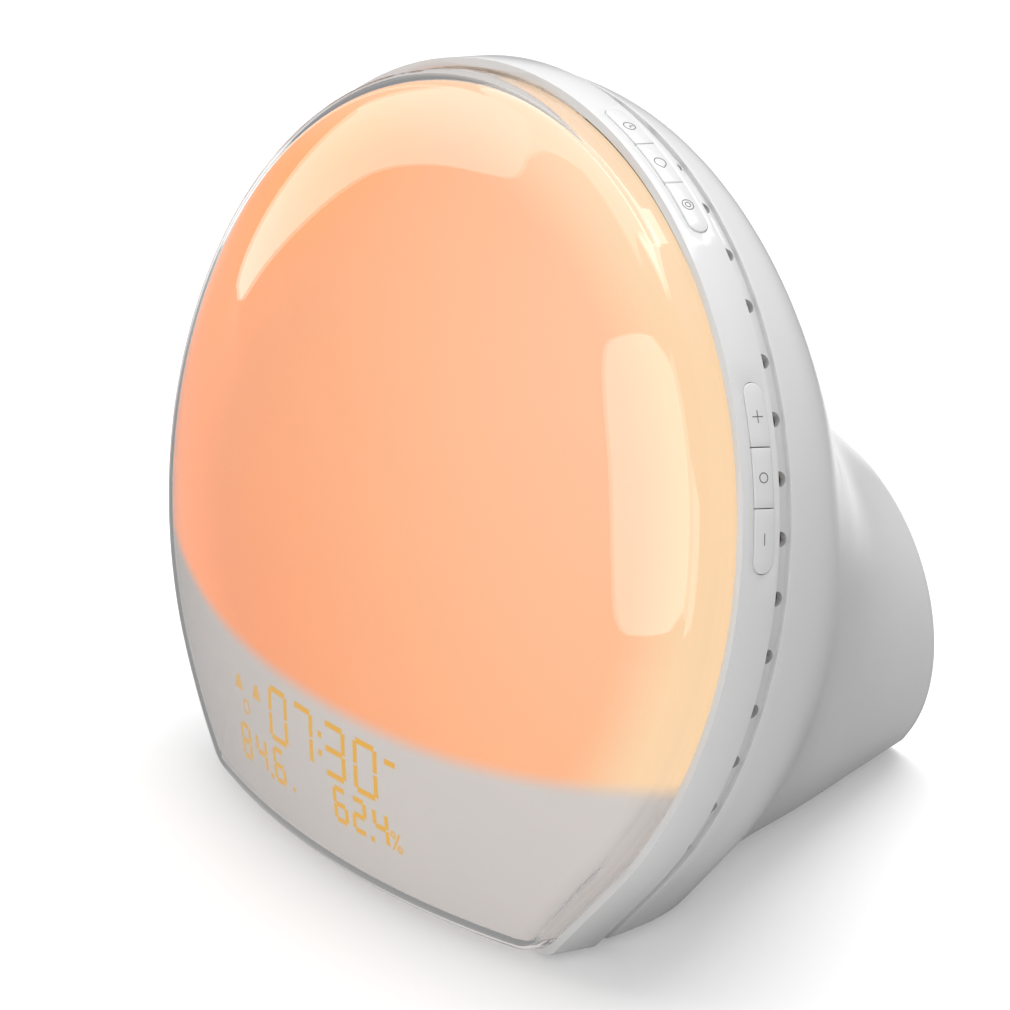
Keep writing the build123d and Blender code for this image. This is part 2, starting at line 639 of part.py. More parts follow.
def cell_tray():
    """Cup over the battery opening that holds the coin cell."""
    width, length, _ = DOOR
    low = BASE_Z + COVER_WALL
    high = BASE_Z + DOOR[2] + CELL_T + CELL_ROOM
    outer = extrude(Pos(0, CELL_Y, low) * Rectangle(width, length), high - low + TRAY_WALL)
    hollow = Rectangle(width - 2 * TRAY_WALL, length - 2 * TRAY_WALL)
    return outer - extrude(Pos(0, CELL_Y, low) * hollow, high - low)


def coin_cell():
    low = BASE_Z + DOOR[2] + CELL_LIFT
    return Pos(0, CELL_Y, low) * Cylinder(CELL_R, CELL_T, align=ON_TOP)


def cell_contacts():
    """Leaf spring under the tray's ceiling that bears on the cell, and a strip to its side."""
    ceiling = BASE_Z + DOOR[2] + CELL_T + CELL_ROOM
    drop = CELL_ROOM - CELL_LIFT - LEAF_T / 2
    half = CELL_R - 1
    points = [(-half, 0), (half, 0), (half, -LEAF_T), (2 - half, -LEAF_T), (1, LEAF_T - drop),
              (1, -drop), (-half, -LEAF_T)]
    side = Plane(origin=(-LEAF_W / 2, CELL_Y, ceiling), x_dir=(0, 1, 0), z_dir=(1, 0, 0))
    leaf = extrude(side * make_face(Polyline(*points, close=True)), LEAF_W)
    near, far = CELL_R + LEAF_T / 2, DOOR[0] / 2 - TRAY_WALL
    middle = BASE_Z + DOOR[2] + CELL_T / 2
    strip = Pos((near + far) / 2, CELL_Y, middle) * Box(far - near, LEAF_W, LEAF_T)
    return [leaf, strip]


def main_board():
    plate = Pos(0, BOARD_Y, BOARD_Z) * rounded_box(*BOARD[:2], BOARD[2], 2.0)
    for x, y in boss_spots():
        plate -= Pos(x, y, BOARD_Z) * Cylinder(SCREW_D / 2 + 0.2, 10)
    return plate


def board_parts():
    """Processor, radio chip, capacitors and connectors on the main board."""
    top = BOARD_Z + BOARD[2]
    chips = [(-10, 2, 12, 12, 1.4), (8, 8, 7, 7, 1.2), (10, -10, 10, 5, 6.0), (-8, -14, 14, 5, 6.0)]
    solids = [
        Pos(x, BOARD_Y + y, top) * Box(w, d, h, align=ON_TOP)
        for x, y, w, d, h in chips
    ]
    for x, y in ((-20, 4), (20, -2), (20, 6)):
        solids.append(Pos(x, BOARD_Y + y, top) * Cylinder(3, 8, align=ON_TOP))
    return solids


def screw():
    """Pan-head screw, its head's underside at the origin and its shank down."""
    head = Cylinder(SCREW_HEAD_D / 2, SCREW_HEAD_H, align=ON_TOP)
    shank = Cylinder(SCREW_D / 2 - 0.1, SCREW_SHANK, align=TOP_DOWN)
    return head + shank


def board_screws():
    return [Pos(x, y, BOARD_Z + BOARD[2]) * screw() for x, y in boss_spots()]


def rubber_feet():
    pad = Cylinder(FOOT_D / 2, BASE_Z + FOOT_SINK, align=ON_TOP)
    return [Pos(x, y, 0) * pad for x, y in FEET]


# ---------------------------------------------------------------- all nodes
def nodes():
    model = {
        "lens_cover": lens_cover(),
        "diffuser": diffuser(),
        "front_ring": front_ring(),
        "reflector": reflector(),
        "light_baffle": light_baffle(),
        "lamp_board": lamp_board(),
        "lamp_leds": lamp_leds(),
        "display_guide": display_guide(),
        "display_board": display_board(),
        "display_chips": display_chips(),
        "rear_cover": rear_cover(),
        "speaker_grille": speaker_grille(),
        "speaker_frame": speaker_frame(),
        "speaker_cone": speaker_cone(),
        "speaker_magnet": speaker_magnet(),
        "power_jack": power_jack(),
        "jack_board": jack_board(),
        "battery_door": battery_door(),
        "cell_tray": cell_tray(),
        "coin_cell": coin_cell(),
        "cell_contacts": cell_contacts(),
        "main_board": main_board(),
        "board_parts": board_parts(),
        "board_screws": board_screws(),
        "rubber_feet": rubber_feet(),
    }
    for row, angle in KEY_GROUPS.items():
        for name, cap, plunger in zip(KEY_NAMES[row], keys(angle), plungers(angle)):
            model[name] = cap
            model[name.replace("key_", "plunger_")] = plunger
        model[row + "_switches"] = switches(angle)
        model[row + "_key_board"] = key_board(angle)
        model[row + "_key_carrier"] = key_carrier(angle)
    return model


def main():
    os.makedirs("parts", exist_ok=True)
    for name, shape in nodes().items():
        if isinstance(shape, list):
            shape = Compound(children=[solid for item in shape for solid in item.solids()])
        export_step(shape, "parts/" + name + ".step")


main()
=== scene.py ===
import json
from math import cos, pi, radians, sin, sqrt, tan

import bmesh
import bpy
import numpy as np
from mathutils import Matrix, Vector

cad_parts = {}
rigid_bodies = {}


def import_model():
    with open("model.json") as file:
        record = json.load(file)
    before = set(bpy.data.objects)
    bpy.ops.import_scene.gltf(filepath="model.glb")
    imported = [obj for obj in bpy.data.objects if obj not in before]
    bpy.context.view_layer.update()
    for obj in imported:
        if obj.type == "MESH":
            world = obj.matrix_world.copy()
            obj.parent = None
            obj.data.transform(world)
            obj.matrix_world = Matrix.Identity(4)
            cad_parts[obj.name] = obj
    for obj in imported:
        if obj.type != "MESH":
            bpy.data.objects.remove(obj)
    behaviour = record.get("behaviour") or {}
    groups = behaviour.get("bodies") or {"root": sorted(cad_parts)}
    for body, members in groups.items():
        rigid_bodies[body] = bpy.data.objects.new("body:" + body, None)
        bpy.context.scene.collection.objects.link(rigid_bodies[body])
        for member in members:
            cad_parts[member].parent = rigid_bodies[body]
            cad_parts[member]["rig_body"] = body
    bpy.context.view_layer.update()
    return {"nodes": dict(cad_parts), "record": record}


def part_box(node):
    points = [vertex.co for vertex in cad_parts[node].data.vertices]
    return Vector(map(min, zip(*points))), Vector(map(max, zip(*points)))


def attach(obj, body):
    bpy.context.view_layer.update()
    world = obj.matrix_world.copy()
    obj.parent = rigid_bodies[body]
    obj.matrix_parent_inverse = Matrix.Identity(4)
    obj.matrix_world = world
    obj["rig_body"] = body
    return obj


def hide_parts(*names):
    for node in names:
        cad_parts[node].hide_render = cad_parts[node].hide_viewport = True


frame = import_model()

# Sunrise alarm clock. Metres, +Z up, the face looks towards -Y, the origin is under the clock.

# ---------------------------------------------------------------- the clock's own sizes
LEAN = radians(14.2)            # the face leans back
SIN, COS = sin(LEAN), cos(LEAN)
AXIS_H = 0.0778                 # height of the ring's front centre
FACE_Y = -0.0325                # and how far it is before the origin
BASE_Z = 0.0010                 # underside of the housing
SIDE_ANGLE = radians(38.0)      # below the middle, where the round outline runs straight down

# A lift is how far an outline's flat base is above the housing's underside.
RING_R = 0.0950
RING_FLARE = 0.0006             # how much wider the ring is at its front edge
RING_DEPTH = 0.0093
LENS_R = 0.0928
LENS_T = 0.0022
LENS_CORNER = 0.0090            # corners of the clear cover at its base
LENS_DRAFT = 0.0020             # how much the cover's wall leans in
LENS_LIFT = 0.0002
DOME_B = 0.0307                 # how far the dome's middle stands before the ring
DOME_R = 0.19841
DRAFT_PAST = 0.0050             # the draft is measured to so far before the dome's middle
SHOULDER = 0.0055               # round edge between wall and dome
SHOULDER_LEAST = 0.0005
CORNER_LEAST = 0.0015
DIFFUSER_INSET = 0.0025
DIFFUSER_T = 0.0016
LIP_T = 0.0008                  # the ring's lip before the cover's flange
LIP_GAP = 0.0003
FLANGE_R = 0.0937
FLANGE_LIFT = 0.0015
FLANGE_END = 0.0018             # depth at which the cover's flange ends
FLANGE_STEP = 0.00007           # between the cover's wall and its flange

GROOVE_W = 0.0044               # the neck behind the ring
GROOVE_R = 0.0928
GROOVE_LIFT = 0.0028
LAP_R = 0.09365                 # what goes from the rear cover into the ring
LAP_LIFT = 0.00135
LAP_START = FLANGE_END + 0.0014
LAP_STEP = 0.0005               # how far before the ring's rear edge the neck widens to the lap
THROAT_R = 0.09115
THROAT_LIFT = 0.00385
COVER_R = 0.0941
COVER_WALL = 0.0024
COVER_CORNER = 0.0040           # corners at its base, at the front and at the end
END_CORNER = 0.0080
END_R = 0.0388
END_H = 0.0300
END_BACK = 0.1009
# stations of the rear cover: share of the way back, of the drop, and of the radius that is left
STATIONS = [
    (0.0, 0.0, 1.0),
    (0.152, 0.067, 0.933),
    (0.304, 0.148, 0.749),
    (0.442, 0.344, 0.552),
    (0.594, 0.600, 0.365),
    (0.787, 0.818, 0.175),
    (1.0, 1.0, 0.0),
]
VENT_COUNT = 33
VENT_PITCH = radians(7.54)
VENT_BACK = 0.0026              # their middle, behind the ring's rear edge
VENT_R = 0.0016
VENT_STEPS = 24

FIT = 0.00015                   # clearance of what only drops into place
GRILLE_LEDGE = 0.0020
JACK_HOLE_R = 0.0037
FOOT_R, FOOT_SINK, FOOT_GAP = 0.0060, 0.0010, 0.0001
FRONT_FEET = (0.0400, FACE_Y + 0.0025)
REAR_FEET = (0.0180, FACE_Y + END_BACK - 0.0124)
CUT_PAST = 0.0100               # how far a cutter runs on past what it cuts

KEY_ROWS = {"upper": radians(66.3), "lower": radians(22.3)}
KEY_BACK = 0.00525
KEY_PITCH = 0.0124
KEY_PROUD = 0.0003

EDGE = 0.0003                   # how far the moulded edges are rounded


# ---------------------------------------------------------------- camera
CAMERA_AZIMUTH = radians(53.95)
CAMERA_ELEVATION = radians(24.3)
CAMERA_ROLL = radians(-0.92)
CAMERA_TARGET = Vector((0.0191, -0.0325, 0.0850))
CAMERA_DISTANCE = 1.4538
CAMERA_LENS, CAMERA_SENSOR = 247.83, 36.0   # millimetres
CAMERA_REACH = (0.05, 50.0)     # the nearest and the farthest that it sees


def make_camera():
    a, e = CAMERA_AZIMUTH, CAMERA_ELEVATION
    back = Vector((sin(a) * cos(e), -cos(a) * cos(e), sin(e)))
    right = Vector((cos(a), sin(a), 0.0))
    up = back.cross(right)
    right, up = (
        right * cos(CAMERA_ROLL) + up * sin(CAMERA_ROLL),
        up * cos(CAMERA_ROLL) - right * sin(CAMERA_ROLL),
    )
    data = bpy.data.cameras.new("camera")
    data.lens, data.sensor_width = CAMERA_LENS, CAMERA_SENSOR
    data.clip_start, data.clip_end = CAMERA_REACH
    camera = bpy.data.objects.new("camera", data)
    camera.matrix_world = Matrix.Translation(CAMERA_TARGET + back * CAMERA_DISTANCE) @ Matrix(
        (right, up, back)
    ).transposed().to_4x4()
    bpy.context.scene.collection.objects.link(camera)
    bpy.context.scene.camera = camera


# ---------------------------------------------------------------- shader and geometry trees
SOFT, PLAIN, FINE = 2.0, 3.0, 4.0   # detail of a noise


class Link:
    """An output of a node. Arithmetic on it adds Math nodes to its tree."""

    def __init__(self, tree, socket):
        self.tree, self.socket = tree, socket

    def _math(self, operation, *values):
        return self.tree.node("ShaderNodeMath", {"operation": operation}, *values)

    def __add__(self, other):
        return self._math("ADD", self, other)

    __radd__ = __add__

    def __sub__(self, other):
        return self._math("SUBTRACT", self, other)

    def __rsub__(self, other):
        return self._math("SUBTRACT", other, self)

    def __mul__(self, other):
        return self._math("MULTIPLY", self, other)

    __rmul__ = __mul__

    def __truediv__(self, other):
        return self._math("DIVIDE", self, other)

    def __rtruediv__(self, other):
        return self._math("DIVIDE", other, self)

    def __pow__(self, other):
        return self._math("POWER", self, other)

    def __abs__(self):
        return self._math("ABSOLUTE", self)

    def most(self, other):
        return self._math("MAXIMUM", self, other)

    def cosine(self):
        return self._math("COSINE", self)

    def sine(self):
        return self._math("SINE", self)

    def ramp(self, low, high):
        """0 below low, 1 above high, smooth between; the other way round if low is above high."""
        settings = {"interpolation_type": "SMOOTHSTEP", "clamp": True}
        return self.tree.node(
            "ShaderNodeMapRange", settings, Value=self, **{"From Min": low, "From Max": high}
        )

    def also(self, out):
        """Another output of the same node."""
        return Link(self.tree, self.socket.node.outputs[out])


class Tree:
    """A node tree that nodes are added to by one method."""

    def __init__(self, tree):
        self.tree = tree

    def node(self, kind, settings=None, *values, out=0, **named):
        """Adds a node: its settings first, then its inputs by order or by name."""
        node = self.tree.nodes.new(kind)
        for key, value in (settings or {}).items():
            setattr(node, key, value)
        for key, value in list(enumerate(values)) + list(named.items()):
            socket = node.inputs[key]
            if isinstance(value, Link):
                self.tree.links.new(value.socket, socket)
            elif value is not None:
                socket.default_value = value
        return Link(self, node.outputs[out])


class Finish(Tree):
    """A material whose surface is one Principled shader."""

    def __init__(self, name, **constants):
        self.material = bpy.data.materials.new(name)
        self.material.use_nodes = True
        super().__init__(self.material.node_tree)
        self.shader = self.tree.nodes["Principled BSDF"]
        for key, value in constants.items():
            self.shader.inputs[key.replace("_", " ")].default_value = value
        self.place = self.node("ShaderNodeTexCoord", out="Object")

    def surface(self, **links):
        for key, value in links.items():
            self.tree.links.new(value.socket, self.shader.inputs[key.replace("_", " ")])
        return self.material

    def noise(self, scale, detail=PLAIN, stretch=None):
        place = self.place
        if stretch is not None:
            place = self.node("ShaderNodeMapping", None, Vector=place, Scale=stretch)
        return self.node("ShaderNodeTexNoise", None, Vector=place, Scale=scale, Detail=detail)

    def blend(self, factor, first, second):
        """A colour between two, by a factor."""
        settings = {"data_type": "RGBA", "blend_type": "MIX"}
        unused = [None] * 5     # the node's inputs for numbers and vectors
        return self.node("ShaderNodeMix", settings, factor, *unused, first, second, out=2)

    def bump(self, height, distance, strength):
        return self.node(
            "ShaderNodeBump", None, Height=height, Distance=distance, Strength=strength
        )


def rgb(red, green, blue):
    return (red, green, blue, 1.0)


def grey(value):
    return rgb(value, value, value)


# ---------------------------------------------------------------- finishes
PLASTIC_IOR = 1.5
CLOUDY = (0.3, 0.7)             # ends of the ramp that makes soft patches of a noise

FLOW_SCALE, FLOW_STRETCH = 14.0, (1.0, 1.0, 0.35)
FLOW_TONE = 0.965               # a flow mark's share of the plastic's tone
GRAIN_SCALE, GRAIN_DEPTH, GRAIN_STRENGTH = 900.0, 0.00002, 0.15
GRAIN_GLOSS, FLOW_GLOSS = 0.05, 0.03


def moulded_plastic(name, tone, rough, warm=0.0, grain=0.0):
    """Glossy moulded plastic: faint flow marks in its colour, fine mould texture in its gloss."""
    finish = Finish(name, IOR=PLASTIC_IOR)
    flow = finish.noise(FLOW_SCALE, SOFT, FLOW_STRETCH)
    fine = finish.noise(GRAIN_SCALE, FINE)
    light, dark = [
        rgb(tone * share, tone * share, tone * (share - warm)) for share in (1.0, FLOW_TONE)
    ]
    return finish.surface(
        Base_Color=finish.blend(flow.ramp(*CLOUDY), dark, light),
        Roughness=rough + GRAIN_GLOSS * fine + FLOW_GLOSS * flow,
        Normal=finish.bump(fine, GRAIN_DEPTH + grain, GRAIN_STRENGTH),
    )


CLEAR_IOR = 1.49
CLEAR_TINTS = rgb(0.975, 0.98, 0.985), rgb(0.99, 0.99, 0.992)
CLEAR_ROUGH, HAZE_ROUGH, SCRATCH_ROUGH = 0.004, 0.012, 0.004
HAZE_SCALE, HAZE_TINT, HAZE_PATCH = 60.0, (0.2, 0.8), (0.45, 0.7)
SCRATCH_SCALE, SCRATCH_STRETCH = 400.0, (1.0, 0.08, 0.08)
STRAIGHT_SHARE = 0.90           # of the light that passes to the pieces behind
TRAPPED = (3.0, 3.5)            # after so many bounces a clear edge glows pale grey: painted light in place of the light those rays would find
TRAPPED_PAINTED_LIGHT = rgb(0.74, 0.71, 0.69)


def clear_cover():
    """Clear plastic. What lights or shades the pieces behind it passes straight through. Where
    rays stay trapped in it, it glows pale grey: painted light.
    """
    finish = Finish("clear_polycarbonate", Transmission_Weight=1.0, IOR=CLEAR_IOR)
    haze = finish.noise(HAZE_SCALE)
    scratch = finish.noise(SCRATCH_SCALE, SOFT, SCRATCH_STRETCH)
    finish.surface(
        Base_Color=finish.blend(haze.ramp(*HAZE_TINT), *CLEAR_TINTS),
        Roughness=CLEAR_ROUGH + HAZE_ROUGH * haze.ramp(*HAZE_PATCH) + SCRATCH_ROUGH * scratch,
    )
    shadow = finish.node("ShaderNodeLightPath", out="Is Shadow Ray")
    light = shadow.most(shadow.also("Is Diffuse Ray"))
    trapped = shadow.also("Ray Depth").ramp(*TRAPPED)
    plastic = Link(finish, finish.shader.outputs["BSDF"])
    # painted light: a pale grey glow shown where rays are trapped in the clear edge
    edge = finish.node("ShaderNodeEmission", None, Color=TRAPPED_PAINTED_LIGHT, Strength=1.0)
    straight = finish.node("ShaderNodeBsdfTransparent", None, Color=grey(STRAIGHT_SHARE))
    plastic = finish.node("ShaderNodeMixShader", None, trapped, plastic, edge)
    mixed = finish.node("ShaderNodeMixShader", None, light, plastic, straight)
    finish.tree.links.new(mixed.socket, finish.tree.nodes["Material Output"].inputs["Surface"])
    return finish.material


# ---- what the diffuser shows, in millimetres right and up in the face, from its centre
MM = 1000.0                     # in a metre
EDGE_V = -42.6                  # lower edge of the lit zone in the middle
EDGE_RISE, EDGE_SPAN = 12.6, 89.6   # how much it has risen at this distance from the middle
EDGE_POWER = 2.5
EDGE_BLUR, EDGE_WAVER = 2.6, 0.8
BIG_DIGITS = [(-18.0, "0"), (-8.0, "7"), (3.6, "3"), (14.1, "0")]
BIG_V, BIG_W, BIG_H, BIG_STROKE = -52.6, 7.7, 12.4, 1.25
COLON_X, COLON_DROP = -1.5, 2.1
SMALL_LEFT = [(-34.3, "8"), (-26.8, "4"), (-19.0, "6")]
SMALL_RIGHT = [(4.6, "6"), (11.0, "2"), (18.0, "4")]
SMALL_V, SMALL_W, SMALL_H, SMALL_STROKE = -64.4, 4.9, 8.3, 1.12
POINT_RIGHT, POINT_UP = 3.9, 0.4    # a small row's point, from the foot of its second digit
DASH = (22.0, -48.4, 3.2, 1.2)
DOT = (-13.4, -67.7, 0.9, 0.9)
BAR_BLUR = (0.3, -0.2)
BELLS = [(-36.1, -51.2), (-27.5, -50.7)]
BELL_HALF_W, BELL_HALF_H, BELL_FLARE, BELL_BLUR = 1.25, 1.6, 0.4, (0.4, -0.3)
PERCENT = (22.6, -66.0)
SLASH_HALF_W, SLASH_HALF_H, SLASH_LEAN = 0.3, 2.0, 0.55
RINGS = [(-32.7, -55.9, 1.4), (21.7, -64.6, 0.55), (23.5, -67.4, 0.55)]
RING_BLUR = (0.65, 0.1)
SIGN_SHARE, RING_SHARE = 0.9, 0.8   # how bright the small signs are beside the bars
LIT_BARS = {
    "0": "abcdef", "1": "bc", "2": "abged", "3": "abgcd", "4": "fgbc",
    "5": "afgcd", "6": "afgedc", "7": "abc", "8": "abcdefg", "9": "abcdfg",
}

# The lamp's light: its colours, and between which places they change, across, up or outwards.
LAMP_LOW = rgb(1.05, 0.32, 0.11), rgb(1.02, 0.48, 0.25)
LAMP_HIGH = rgb(1.05, 0.43, 0.20), rgb(1.02, 0.59, 0.37)
LAMP_ACROSS, LAMP_UP = (-70.0, 80.0), (-60.0, 70.0)
RIGHT_RIM, RIGHT_RIM_OUT, RIGHT_RIM_ACROSS = rgb(0.98, 0.71, 0.43), (74.0, 90.0), (-20.0, 60.0)
LEFT_RIM, LEFT_RIM_OUT, LEFT_RIM_ACROSS = rgb(1.60, 0.46, 0.12), (45.0, 90.0), (-5.0, -50.0)
TOP_RIM, TOP_RIM_OUT, TOP_RIM_UP = rgb(1.0, 0.80, 0.55), (70.0, 92.0), (50.0, 90.0)
TOP_RIM_SHARE = 0.7
LAMP_CLOUD, LAMP_CLOUD_SHARE = rgb(0.95, 0.50, 0.28), 0.12
# the unlit display's grey glow is painted light, standing in for the outside light on it; the lit
# bars glow amber
DISPLAY_PAINTED_LIGHT, DISPLAY_LIT = rgb(0.265, 0.232, 0.218), rgb(0.78, 0.41, 0.04)
MILK = rgb(0.60, 0.575, 0.55), rgb(0.63, 0.61, 0.585)
MILK_AT_BARS, MILK_AT_LAMP = rgb(0.12, 0.07, 0.02), rgb(0.10, 0.04, 0.02)
MILK_CLOUD_SCALE = 9.0


def digit_bars(x, v, sign, width, height, stroke):
    """The lit bars of one seven-bar digit, as (centre x, centre v, width, height)."""
    w, h = width - stroke, height - stroke
    across, up = w - 0.5 * stroke, h / 2 - 0.5 * stroke
    bars = {
        "a": (x, v + h / 2, across, stroke),
        "g": (x, v, across, stroke),
        "d": (x, v - h / 2, across, stroke),
        "f": (x - w / 2, v + h / 4, stroke, up),
        "b": (x + w / 2, v + h / 4, stroke, up),
        "e": (x - w / 2, v - h / 4, stroke, up),
        "c": (x + w / 2, v - h / 4, stroke, up),
    }
    return [bars[name] for name in LIT_BARS[sign]]


def display_bars():
    bars = []
    for x, sign in BIG_DIGITS:
        bars += digit_bars(x, BIG_V, sign, BIG_W, BIG_H, BIG_STROKE)
    for x, sign in SMALL_LEFT + SMALL_RIGHT:
        bars += digit_bars(x, SMALL_V, sign, SMALL_W, SMALL_H, SMALL_STROKE)
    for side in (-1, 1):
        bars.append((COLON_X, BIG_V + side * COLON_DROP, BIG_STROKE, BIG_STROKE))
    for group in (SMALL_LEFT, SMALL_RIGHT):
        point_v = SMALL_V - SMALL_H / 2 + POINT_UP
        bars.append((group[1][0] + POINT_RIGHT, point_v, SMALL_STROKE, SMALL_STROKE))
    return bars + [DASH, DOT]


def display_glow(x, v):
    """1 where the display's bars and signs are lit."""
    glow = None
    for bar_x, bar_v, width, height in display_bars():
        bar = (abs(x - bar_x) - width / 2).most(abs(v - bar_v) - height / 2).ramp(*BAR_BLUR)
        glow = bar if glow is None else glow.most(bar)
    for bell_x, bell_v in BELLS:
        side = abs(x - bell_x) - (BELL_HALF_W - BELL_FLARE * (v - bell_v))
        bell = side.most(abs(v - bell_v) - BELL_HALF_H)
        glow = glow.most(SIGN_SHARE * bell.ramp(*BELL_BLUR))
    for ring_x, ring_v, radius in RINGS:
        ring = abs(((x - ring_x) ** 2.0 + (v - ring_v) ** 2.0) ** 0.5 - radius)
        glow = glow.most(RING_SHARE * ring.ramp(*RING_BLUR))
    slash_x, slash_v = PERCENT
    side = abs(x - slash_x - SLASH_LEAN * (v - slash_v)) - SLASH_HALF_W
    slash = side.most(abs(v - slash_v) - SLASH_HALF_H)
    return glow.most(SIGN_SHARE * slash.ramp(*BAR_BLUR))


def milky_diffuser():
    """Milky plastic, lit from behind above the display and by the display's bars below. Between
    the bars the display glows grey: painted light in place of the outside light that falls on it.
    """
    finish = Finish(
        "milky_diffuser", Roughness=0.28, IOR=PLASTIC_IOR, Specular_IOR_Level=0.1,
        Emission_Strength=1.0,
    )
    axes = finish.node("ShaderNodeSeparateXYZ", None, finish.place)
    x, y, z = axes * MM, axes.also("Y") * MM, axes.also("Z") * MM
    v = (y - FACE_Y * MM) * SIN + (z - AXIS_H * MM) * COS

    edge = EDGE_V + EDGE_RISE * (abs(x) / EDGE_SPAN) ** EDGE_POWER
    cloud = finish.noise(MILK_CLOUD_SCALE, SOFT)
    lamp = (v - edge + EDGE_WAVER * (cloud - 0.5)).ramp(-EDGE_BLUR, EDGE_BLUR)
    glow = display_glow(x, v)

    across, out = x.ramp(*LAMP_ACROSS), (x ** 2.0 + v ** 2.0) ** 0.5
    low, high = finish.blend(across, *LAMP_LOW), finish.blend(across, *LAMP_HIGH)
    warm = finish.blend(v.ramp(*LAMP_UP), low, high)
    right_rim = out.ramp(*RIGHT_RIM_OUT) * x.ramp(*RIGHT_RIM_ACROSS)
    warm = finish.blend(right_rim, warm, RIGHT_RIM)
    left_rim = out.ramp(*LEFT_RIM_OUT) * x.ramp(*LEFT_RIM_ACROSS)
    warm = finish.blend(left_rim, warm, LEFT_RIM)
    top_rim = TOP_RIM_SHARE * out.ramp(*TOP_RIM_OUT) * v.ramp(*TOP_RIM_UP)
    warm = finish.blend(top_rim, warm, TOP_RIM)
    warm = finish.blend(LAMP_CLOUD_SHARE * cloud, warm, LAMP_CLOUD)
    # the display's emission: painted light between the bars, and the bars' own amber light on them
    dark = finish.blend(glow, DISPLAY_PAINTED_LIGHT, DISPLAY_LIT)
    milk = finish.blend(glow, finish.blend(cloud.ramp(*CLOUDY), *MILK), MILK_AT_BARS)
    return finish.surface(
        Base_Color=finish.blend(lamp, milk, MILK_AT_LAMP),
        Emission_Color=finish.blend(lamp, dark, warm),
    )


CELL_SCALE, TRACK_EDGE, TRACK_RELIEF = 320.0, (0.05, 0.09), (0.00004, 0.4)
TRACK_TONE, MASK_TONE = rgb(0.05, 0.23, 0.09), rgb(0.02, 0.14, 0.05)
WEAVE_SCALE, WEAVE_TONE, WEAVE_SHARE = 700.0, rgb(0.10, 0.28, 0.13), 0.2
BOARD_ROUGH, WEAVE_ROUGH = 0.3, 0.15


def circuit_board():
    finish = Finish("green_circuit_board", Specular_IOR_Level=0.4)
    cells = finish.node(
        "ShaderNodeTexVoronoi", {"feature": "DISTANCE_TO_EDGE"}, Vector=finish.place,
        Scale=CELL_SCALE,
    )
    tracks = cells.ramp(*TRACK_EDGE)
    weave = finish.noise(WEAVE_SCALE, SOFT)
    mask = finish.blend(tracks, TRACK_TONE, MASK_TONE)
    return finish.surface(
        Base_Color=finish.blend(WEAVE_SHARE * weave, mask, WEAVE_TONE),
        Roughness=BOARD_ROUGH + WEAVE_ROUGH * weave,
        Normal=finish.bump(tracks, *TRACK_RELIEF),
    )


MATT_SCALE, MATT_ROUGH, MATT_RELIEF = 1500.0, 0.12, (0.00005, 0.5)
PATCH_SCALE, PATCH_LIGHTER, PATCH_LEAST = 40.0, 1.5, 0.005


def dark_moulding(name, tone, rough, scale=MATT_SCALE):
    """Black moulded or pressed stuff with a fine matt grain and slightly lighter patches."""
    finish = Finish(name)
    grain = finish.noise(scale, FINE)
    patch = finish.noise(PATCH_SCALE, SOFT).ramp(*CLOUDY)
    return finish.surface(
        Base_Color=finish.blend(patch, grey(tone), grey(tone * PATCH_LIGHTER + PATCH_LEAST)),
        Roughness=rough + MATT_ROUGH * grain,
        Normal=finish.bump(grain, *MATT_RELIEF),
    )


PHOSPHOR = rgb(0.90, 0.72, 0.20), rgb(0.95, 0.83, 0.40)
PHOSPHOR_LIGHT = rgb(0.9, 0.45, 0.15), rgb(1.0, 0.55, 0.22)
SPECK_SCALE, SPECK_EDGE = 1800.0, (0.35, 0.65)
PHOSPHOR_ROUGH, SPECK_ROUGH = 0.25, 0.2


def lamp_package():
    finish = Finish("lamp_phosphor", Emission_Strength=1.0)
    speck = finish.noise(SPECK_SCALE)
    return finish.surface(
        Base_Color=finish.blend(speck.ramp(*SPECK_EDGE), *PHOSPHOR),
        Emission_Color=finish.blend(speck, *PHOSPHOR_LIGHT),
        Roughness=PHOSPHOR_ROUGH + SPECK_ROUGH * speck,
    )


STEEL = rgb(0.62, 0.62, 0.63), rgb(0.72, 0.72, 0.73)
STEEL_CLOUD_SCALE, STEEL_ROUGH = 30.0, 0.22
LINE_SCALE, LINE_STRETCH, LINE_ROUGH = 300.0, (1.0, 1.0, 12.0), 0.2
LINE_RELIEF = (0.00002, 0.3)


def plated_steel():
    finish = Finish("plated_steel", Metallic=1.0)
    lines = finish.noise(LINE_SCALE, FINE, LINE_STRETCH)
    cloud = finish.noise(STEEL_CLOUD_SCALE, SOFT)
    return finish.surface(
        Base_Color=finish.blend(cloud, *STEEL),
        Roughness=STEEL_ROUGH + LINE_ROUGH * lines,
        Normal=finish.bump(lines, *LINE_RELIEF),
    )


# one finish for each of the model's material slots, plastics as tone and roughness
FINISHES = {
    "clear_cover": clear_cover(),
    "diffuser": milky_diffuser(),
    "shell": moulded_plastic("white_gloss_plastic", 0.80, 0.10),
    "keys": moulded_plastic("white_key_plastic", 0.80, 0.16),
    "grille": moulded_plastic("satin_white_plastic", 0.74, 0.32, grain=0.00002),
    "reflector": moulded_plastic("plain_white_plastic", 0.82, 0.38, warm=0.02),
    "board": circuit_board(),
    "chips": dark_moulding("black_moulding", 0.02, 0.38),
    "leds": lamp_package(),
    "plungers": dark_moulding("black_nylon", 0.025, 0.45),
    "steel": plated_steel(),
    "magnet": dark_moulding("dark_ferrite", 0.05, 0.5, 900.0),
    "paper": dark_moulding("pressed_paper", 0.03, 0.75, 2500.0),
    "rubber": dark_moulding("soft_rubber", 0.035, 0.6),
}
MARK_FINISH = moulded_plastic("grey_key_print", 0.17, 0.35)


